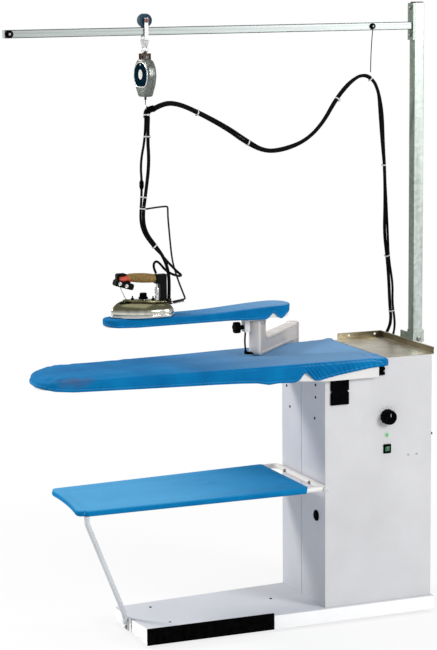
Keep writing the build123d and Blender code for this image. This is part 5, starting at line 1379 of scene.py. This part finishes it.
form = bmesh.new()
rings = []
for step in range(22, -1, -1):
    share = 1 - step / 24
    ring = []
    for k, p in enumerate(cloth_outline):
        middle = Vector((max(-600, min(0, p.x)), -5 + 0.03 * p.x))
        left = clip((-705 - p.x) / 8)
        at = middle.lerp(p + inward(cloth_outline, k) * (10.0 * left + 0.9 * right_share(p)), share)
        ring.append(Vector((*at, cloth_height(at))))
    rings.append(ring)
rings += [cloth_ring(turn) for turn in (18, 36, 54, 72, 90, 108, 126, 144, 162, 180)]
for _ in range(2):
    # the hem's turning is drawn in 6 mm at a time and rises a little toward the cloth
    rings.append([at + Vector((*(inward(cloth_outline, k) * 6), 0.8 * (1 - right_share(cloth_outline[k]))))
                  for k, at in enumerate(rings[-1])])
cloth_rings = [[form.verts.new(v) for v in ring] for ring in rings]
for a, b in zip(cloth_rings, cloth_rings[1:]):
    for k in range(len(cloth_outline)):
        j = (k + 1) % len(cloth_outline)
        form.faces.new((a[k], b[k], b[j], a[j]))
first = cloth_rings[0]
bmesh.ops.triangle_fill(form, use_beauty=True, edges=[form.edges.get((first[k], first[k - 1]))
                                                      for k in range(len(first))])
bmesh.ops.recalc_face_normals(form, faces=form.faces)
if sum(f.normal.z * f.calc_area() for f in form.faces) < 0:
    bmesh.ops.reverse_faces(form, faces=form.faces)
shelf_cloth = make_piece("garment_cloth", form, shelf_cotton, "frame", ["shelf_cloth"], sharp=180)
wall = shelf_cloth.modifiers.new("wall", "SOLIDIFY")
wall.thickness = 0.0011
wall.offset = -1

# Hem seams of the garment cloth: one row of stitches 12 mm in from each wrapped edge, and on the right edge.
bpy.context.view_layer.update()
spots = []
cloth_guide = even_outline(cloth_plan, 400, 2)
for k, p in enumerate(cloth_guide):
    inside = inward(cloth_guide, k)
    at = p + inside * (22 if p.x < -705 else 6 if p.x > 40 else 15)
    hit, spot, normal, _ = shelf_cloth.ray_cast(Vector((at.x, at.y, 500)) / 1000, Vector((0, 0, -1)))
    if hit:
        spots.append((spot, normal, Vector((inside.y, -inside.x, 0))))
repeat_along("cloth_hem_stitches", spots, stitch_pattern(3.8, 0.8), thread, "frame")

# End plugs of the shelf tube: moulded grey caps pressed into the front end beside the cabinet.
form = bmesh.new()
draw_turned(form, [(9.6, -0.2), (9.8, 1.2), (9.2, 2.8), (7.2, 3.8), (0, 4.2)], (107, -190, 460), (0, -1, 0), 32)
make_piece("tube_plug", form, leg_enamel, "frame", sharp=50)


# Iron, sole and body: a cast, ground sole 9 mm thick under a pressed dome, both nickel plated and polished.
# Polished plate: mirror-like and silver at the sole, with painted dark olive reflections in blotches over the upper
# dome.
polished_plate = finish("polished_nickel_dome", "#a8a490", {"Metallic": 1.0, "Roughness": 0.16})
# painted reflection: the dome turns dark olive toward its top, in blotches
high = node(polished_plate, "SeparateXYZ", {}, {"Vector": node(polished_plate, "TexCoord").outputs["Object"]})
up_dome = node(polished_plate, "MapRange", {"From Min": 1.061, "From Max": 1.074}, {"Value": high.outputs["Z"]})
blotch_noise = texture(polished_plate, "Noise", {"Scale": 34, "Detail": 4}, (2.2, 2.2, 0.4))
painted_reflection_mask = node(polished_plate, "Math", {"operation": "MULTIPLY_ADD", 1: 0.75}, {0: blotch_noise, 2: up_dome})
tint(polished_plate, "#cfcfc4", "#6f6d54", painted_reflection_mask, (0.3, 1.2))
relief(polished_plate, blotch_noise, 0.0004, 0.25)
polished_sole = finish("ground_nickel_sole", "#c9c9c6", {"Metallic": 1.0, "Roughness": 0.2})
ground = texture(polished_sole, "Noise", {"Scale": 1.0, "Detail": 3}, (8, 500, 500))
tint(polished_sole, "#b5b5b2", "#d9d9d6", ground)
relief(polished_sole, ground, 0.0001, 0.4)


def iron_ring(inset, height):
    """Gives the iron's plan outline, drawn in by an inset, at a height; the tip draws in faster."""
    half = 52 - inset
    right_x = -361 - inset
    plan = arc_points((-569 + inset * 1.5, -36.01), (-520 + inset, -36 - half * 0.72), (-425, -36 - half), 22)
    plan += [(-425, -36 - half)] + arc_points((-395, -36 - half), (-372 - inset * 0.6, -36 - half * 0.8),
                                              (right_x, -36 - half * 0.4), 10)
    plan += [(right_x, -36 - half * 0.4)]
    plan += [(x, -72 - y) for x, y in reversed(plan)]
    return [Vector((*p, height)) for p in even_outline(plan, 132, 4)]


form = bmesh.new()
skin_rings(form, [iron_ring(*ring) for ring in (
    (20, 1041.3), (2.2, 1041.3), (0.8, 1041.8), (0.1, 1043), (0.1, 1048.6), (0.7, 1049.9), (2.0, 1050.4),
    (3.4, 1050.5), (3.6, 1051.4))])
make_piece("iron_sole", form, polished_sole, "iron", ["iron_body"], sharp=45)


def dome_ring(inset, height):
    """Gives a ring of the dome, which stands higher toward the tip than at the heel."""
    ring = iron_ring(inset, height)
    for v in ring:
        v.z = 1050 + (height - 1050) * (1 + 0.284 * min(1.2, max(0, (-370 - v.x) / 155)))
    return ring


form = bmesh.new()
dome = [(3.4, 1050.2), (1.9, 1051.2), (1.2, 1053), (0.8, 1057), (1.2, 1061), (2.6, 1064.5), (4.8, 1068), (8, 1072),
        (11.8, 1076), (16, 1079.4), (20.5, 1082), (25, 1083.8), (28, 1084.2), (31, 1084.2)]
skin_rings(form, [dome_ring(inset, height) for inset, height in dome])
make_piece("iron_dome", form, polished_plate, "iron", sharp=45)

# Top plate: a shallow pressed lid with a rolled edge, olive-gold passivated, held by two studs with nuts.
lid_plate = patterned("olive_passivated_lid", "#6d6848", {"Metallic": 0.9, "Roughness": 0.3}, "#544f36", "#8d8866",
                      {"Scale": 60, "Detail": 5}, 0.0002, 0.4)
form = bmesh.new()
lid = [(28, 1083.6), (26.8, 1084.2), (26.6, 1085.6), (27.2, 1087), (28.6, 1087.6), (31, 1087.8), (38, 1087.9)]
skin_rings(form, [dome_ring(inset, height) for inset, height in lid])
make_piece("iron_lid", form, lid_plate, "iron", ["iron_top_plate"], sharp=45)
form = bmesh.new()
for nut_x, nut_z in ((-493, 1096.2), (-424, 1091.5)):
    draw_turned(form, [(5.8, 0), (5.8, 0.9), (4, 1)], (nut_x, -36, nut_z), (0, 0, 1), 22)
    draw_turned(form, [(5, 0.8), (5, 4.6), (4.4, 5.2), (2.6, 5.2)], (nut_x, -36, nut_z), (0, 0, 1), 6)
    draw_turned(form, [(2.2, 4.8), (2.2, 11), (1.7, 11.8), (0, 12)], (nut_x, -36, nut_z), (0, 0, 1), 16)
make_piece("lid_nuts", form, black_plastic, "iron", sharp=30)

# Thermostat: a fluted black knob on a short stem over a printed ring with a pointer.
dial_rings = []
for radius, height, flute in ((9.6, 1096.6, 0), (14.6, 1097, 0), (14.9, 1098, 0), (14.9, 1101.6, 0), (14.2, 1102.6, 0),
                              (12, 1103, 0.5), (11.8, 1104, 0.9), (11.4, 1113, 0.9), (10.8, 1114.8, 0.7),
                              (9.2, 1115.8, 0.2), (4, 1116, 0)):
    dial_rings.append([Vector((-457 + (radius - flute * (0.5 + 0.5 * math.cos(12 * a))) * math.cos(a),
                               -36 + (radius - flute * (0.5 + 0.5 * math.cos(12 * a))) * math.sin(a), height))
                       for a in (2 * math.pi * k / 96 for k in range(96))])
form = bmesh.new()
skin_rings(form, dial_rings)
make_piece("thermostat_dial", form, black_plastic, "iron_dial", ["iron_knob"], sharp=35)
form = bmesh.new()
draw_turned(form, [(9, -1), (9, 2.6), (7.4, 3.4), (5, 3.6)], (-457, -36, 1093.2), (0, 0, 1), 30)
make_piece("thermostat_stem", form, drawn_steel, "iron", sharp=40)
form = bmesh.new()
draw_brick(form, Vector((-457, -43, 1116.1)), square, [0.8, 3.4, 0.25], 0.3)
make_piece("thermostat_pointer", form, tie_nylon, "iron_dial")

# Steam valve: bright plated solenoid body with a hexagon foot, a ribbed waist and a bent tube to the inlet.
form = bmesh.new()
draw_turned(form, [(8.4, 0), (8.4, 4.4), (7.6, 5.4), (6, 5.6)], (-413.5, -44, 1090.6), (0, 0, 1), 6)
valve = [(6.2, 5)]
for k in range(7):
    valve += [(7.2, 6 + 2.2 * k), (7.2, 7.2 + 2.2 * k), (6.5, 7.4 + 2.2 * k), (6.5, 7.8 + 2.2 * k)]
valve += [(7.4, 22), (7.4, 38), (6.6, 40), (3.4, 41.5), (3, 43), (3, 55), (2.4, 56), (0, 56.2)]
draw_turned(form, valve, (-413.5, -44, 1090.6), (0, 0, 1), 28)
make_piece("steam_valve", form, bright_rim, "iron", sharp=30)

# Steam inlet at the heel: hexagon union, olive and a crimped brass ferrule over the end of the hose.
form = bmesh.new()
draw_turned(form, [(11, 0), (11, 5), (9.6, 6.2), (7.4, 6.4)], (-372, -40, 1075.6), (0, 0, 1), 6)
draw_turned(form, [(7.6, 5.5), (8.2, 6.4), (8.2, 8.2), (7.4, 8.6), (7.4, 9.4), (8.2, 9.8), (8.2, 14), (7.2, 15.2),
                   (5.7, 15.4)], (-372, -40, 1077.6), (0, 0, 1), 28)
make_piece("steam_union", form, neck_brass, "iron", sharp=30)
form = bmesh.new()
draw_turned(form, [(5.0, -14), (5.0, 0), (4.6, 1.2), (3.2, 1.6)], (-361.6, -40, 1079), (1, 0, 0.03), 22)
make_piece("rod_socket", form, drawn_steel, "iron", sharp=40)


# Handle: a turned cork grip on a steel core, its front third dipped in red lacquer under the thumb.
# The grip swells in the palm; the lacquered nose is slimmer and carries the steam lever.
# Cork: warm brown granules of 2 to 4 mm with dark pores, matt. The lacquer is glossier and keeps the grain.
grip_cork = finish("turned_agglomerate_cork", "#8d6a42", {"Roughness": 0.7})
granules = texture(grip_cork, "Voronoi", {"Scale": 330}).outputs["Color"]
pores = texture(grip_cork, "Noise", {"Scale": 520, "Detail": 3})
grain = node(grip_cork, "Math", {"operation": "MULTIPLY_ADD", 1: 0.55}, {0: granules, 2: pores})
tint(grip_cork, "#4f3a17", "#876a2f", grain, (0.4, 0.95))
along_grip = node(grip_cork, "SeparateXYZ", {}, {"Vector": node(grip_cork, "TexCoord").outputs["Object"]}).outputs
slanted = node(grip_cork, "Math", {"operation": "MULTIPLY_ADD", 1: 1.05}, {0: along_grip["Z"], 2: along_grip["X"]})
dipped = node(grip_cork, "MapRange", {"From Min": 0.716, "From Max": 0.72, "To Min": 1, "To Max": 0},
              {"Value": slanted})
recolour(grip_cork, {}, {0: dipped, 7: ramp_over(grip_cork, grain, ((0.4, "#8e2415"), (0.95, "#cf4a2c")))})
shine(grip_cork, 0.72, 0.38, dipped)
relief(grip_cork, grain, 0.0004, 0.4)
grip_line = [(-541, 1161.6, 5), (-540.6, 1161.6, 8.4), (-539, 1161.7, 9.8), (-534, 1162, 10.6), (-526, 1162.6, 10.9),
             (-519, 1163.2, 11), (-514, 1164, 11.1), (-511, 1165.2, 11.7), (-507, 1166, 12.5), (-500, 1166.4, 13.2),
             (-488, 1165.6, 14.2), (-474, 1164.4, 15.1), (-458, 1163.2, 15.5), (-442, 1162, 15.1),
             (-428, 1160.6, 14), (-416, 1159.6, 12.6), (-408, 1159, 11.6), (-402.6, 1159, 11.1), (-402, 1159, 9)]
form = bmesh.new()
skin_rings(form, [circle(Vector((x, -36, z)), along_y * radius, up * radius, 48) for x, z, radius in grip_line])
grip = make_piece("cork_grip", form, grip_cork, "iron", ["iron_handle"], sharp=60)
subdivide(grip)

# Thumb cap, switch block and rear post: black phenolic, moulded, satin with a slight brown cast at the edges.
phenolic = patterned("moulded_black_phenolic", "#0a0909", {"Roughness": 0.4, "Specular IOR Level": 0.06}, "#050404",
                     "#0e0d0c", {"Scale": 70, "Detail": 5}, 0.0003, 0.35)
form = bmesh.new()
lever = [(-517.4, 1178.9), (-517.8, 1180.6), (-524, 1181.4), (-536, 1181.8), (-543, 1180.2), (-546.4, 1174),
         (-546.2, 1163), (-545, 1160.4), (-543.6, 1163), (-543.8, 1173), (-541.6, 1177.2), (-534, 1178.6),
         (-524, 1178.6)]
skin_rings(form, [[Vector((x - inset * 0.5, y, z - inset * 0.25)) for x, z in reversed(lever)]
                  for y, inset in ((-44.4, 0.7), (-44, 0.2), (-43, 0), (-29, 0), (-28, 0.2), (-27.6, 0.7))])
draw_turned(form, [(4.6, -1.8), (4.6, 0)], (-530, -36, 1178.6), (0, 0, 1), 24)
for side in (-1, 1):
    # the lever's cheeks reach down beside the nose
    draw_brick(form, Vector((-529, -36 + side * 12.4, 1177.6)), square, [13.4, 0.8, 3.4], 0.6)
    draw_brick(form, Vector((-542.9, -36 + side * 12.4, 1170)), square, [2.6, 0.8, 8.6], 0.6)
make_piece("steam_lever", form, phenolic, "steam_button", ["iron_steam_button"], sharp=30)
form = bmesh.new()
block_along, block_over = Vector((0.956, 0, -0.292)), Vector((0.292, 0, 0.956))
draw_brick(form, Vector((-523, -36, 1145.5)), [block_along, along_y, block_over], [31, 17.5, 10], 0.14)
draw_brick(form, Vector((-511, -36, 1152)), [block_along, along_y, block_over], [8, 14.5, 6], 0.2)
make_piece("switch_block", form, phenolic, "iron", ["iron_switch_block"], sharp=30)
ease_node("iron_rear_post", phenolic, "iron", 0.6)

# Two round push buttons on the switch block's side, each in a bright ring, and the block's cover screws.
form = bmesh.new()
rings_form = bmesh.new()
for x, z in ((-539.8, 1151), (-518, 1142.6)):
    draw_turned(rings_form, [(6.2, -0.4), (6.2, 1.0), (5.4, 1.6), (4.6, 1.4), (4.6, 0.2)], (x, -53.6, z),
                (0, -1, 0), 28, close=False)
    draw_turned(form, [(4.5, -0.4), (4.5, 2.2), (3.8, 3.0), (1.6, 3.3), (0, 3.3)], (x, -53.6, z), (0, -1, 0), 28)
make_piece("switch_buttons", form, tie_nylon, "iron", sharp=50)
make_piece("switch_button_rings", rings_form, bright_rim, "iron", sharp=50)

# Sensor lead: a thin steel-braided lead from the switch block down into the lid, with a small grommet.
sensor_radius = 0.0013
sensor_path = route("sensor", [(-536, -44, 1142), (-535, -44, 1136), (-530, -42, 1124), (-521, -39, 1109),
                               (-514, -37, 1094)])
form = bmesh.new()
draw_tube(form, sensor_path, sensor_radius, 10)
sensor_lead = make_piece("sensor_lead", form, drawn_steel, "iron", size=1, sharp=60)
form = bmesh.new()
draw_turned(form, [(3.4, -0.6), (3.6, 0.8), (3.0, 2.0), (1.5, 2.8), (1.0, 2.8)], (-514.2, -37, 1096.6),
            (-0.1, 0, 1), 20)
make_piece("sensor_grommet", form, black_rubber, "iron", sharp=60)


# Balance rod: a 3 mm spring-steel wire with a close coil at the iron's heel, which holds the hose and the
# cable up behind the hand. It is blackened; the coil is bright where it rubs.
blackened_wire = patterned("blackened_spring_wire", "#262523", {"Roughness": 0.5, "Specular IOR Level": 0.08},
                           "#141311", "#35322e", {"Scale": 240, "Detail": 4}, 0.0001, 0.4)
rod_path = route("rod", [(-360.7, -40, 1079), (-345, -41, 1082), (-326, -40, 1086), (-316, -40, 1089),
                         (-320, -40, 1099), (-339, -38, 1148), (-352, -32, 1195), (-357, -28, 1230),
                         (-361, -22, 1300), (-363, -16, 1350), (-362, -14, 1378), (-364, -14, 1382),
                         (-370, -14, 1383), (-403, -14, 1381), (-424, -16, 1379), (-436, -17, 1378)])
form = bmesh.new()
draw_tube(form, rod_path, 0.0029, 14)
coil_ahead = Vector((43, 0, 6)).normalized()
coil_over = coil_ahead.cross(along_y)
coil_turn = circle(Vector((-358, -40, 1079.6)), along_y * 4.4, coil_over * 4.4, 18)
coil_path = [(coil_turn[k % 18] + coil_ahead * 4.6 * k / 18) / 1000 for k in range(8 * 18 + 1)]
draw_tube(form, coil_path, 0.0013, 8)
rod = make_piece("balance_rod", form, blackened_wire, None, ["iron_rod"], size=1, sharp=60)
bend(rod)


# Studio: a pale floor under the feet, one broad soft lamp to the front right, which throws the control
# knob's shadow down to its left, and one to the rear left, whose light the board and the shelf cut off in
# slanting edges on the cabinet's side. The backdrop is white to the camera, in gloss and through glass.
floor_form = bmesh.new()
bmesh.ops.create_grid(floor_form, x_segments=1, y_segments=1, size=14)
floor_mesh = bpy.data.meshes.new("studio_floor")
floor_form.to_mesh(floor_mesh)
floor_form.free()
floor = bpy.data.objects.new("studio_floor", floor_mesh)
scene.collection.objects.link(floor)
paper = bpy.data.materials.new("white_background_paper")
paper.use_nodes = True
paper.node_tree.nodes.clear()
matt = node(paper, "BsdfDiffuse", {"Color": colour("#e4e4e4")})
glow = node(paper, "Emission", {"Color": (1, 1, 1, 1), "Strength": 1.0})
rays = node(paper, "LightPath")
seen = node(paper, "Math", {"operation": "MAXIMUM"},
            {0: rays.outputs["Is Camera Ray"], 1: rays.outputs["Is Glossy Ray"]})
seen_too = node(paper, "Math", {"operation": "MAXIMUM"},
                {0: seen, 1: rays.outputs["Is Transmission Ray"]})
place = node(paper, "TexCoord")
afar = node(paper, "VectorMath", {"operation": "LENGTH"}, {0: place.outputs["Object"]})
fade = node(paper, "MapRange", {"interpolation_type": "SMOOTHSTEP", "From Min": 0.9, "From Max": 2.4,
                                          "To Min": 0.8, "To Max": 1.0}, {"Value": afar.outputs["Value"]})
part = node(paper, "Math", {"operation": "MULTIPLY"}, {0: seen_too, 1: fade})
both = node(paper, "MixShader", {}, {0: part, 1: matt, 2: glow})
node(paper, "OutputMaterial", {}, {"Surface": both})
floor_mesh.materials.append(paper)

room = bpy.data.worlds.new("studio")
scene.world = room
room.use_nodes = True
room.node_tree.nodes.clear()
rays = node(room, "LightPath")
seen = node(room, "Math", {"operation": "MAXIMUM"},
            {0: rays.outputs["Is Camera Ray"], 1: rays.outputs["Is Transmission Ray"]})
soft = node(room, "Background", {"Color": (0.97, 0.98, 1.0, 1), "Strength": 0.58})
white = node(room, "Background", {"Color": (1, 1, 1, 1), "Strength": 1.0})
mixed = node(room, "MixShader", {}, {0: seen, 1: soft, 2: white})
node(room, "OutputWorld", {}, {"Surface": mixed})


def soft_lamp(name, place, target, size, power, hue=(1, 1, 1)):
    """Hangs a square lamp that faces a point."""
    lamp = bpy.data.lights.new(name, "AREA")
    lamp.size = size
    lamp.energy = power
    lamp.color = hue
    holder = bpy.data.objects.new(name, lamp)
    scene.collection.objects.link(holder)
    holder.location = place
    holder.rotation_euler = (Vector(target) - Vector(place)).to_track_quat("-Z", "Y").to_euler()


soft_lamp("front_right_lamp", (2.6, -4.1, 2.9), (0, 0, 0.9), 1.6, 172)
soft_lamp("rear_left_lamp", (-3.4, 1.6, 2.7), (0.1, 0, 0.6), 0.8, 122, (1.0, 0.95, 0.92))
soft_lamp("top_lamp", (-0.3, -0.4, 4.2), (-0.1, 0, 0.9), 2.4, 22)
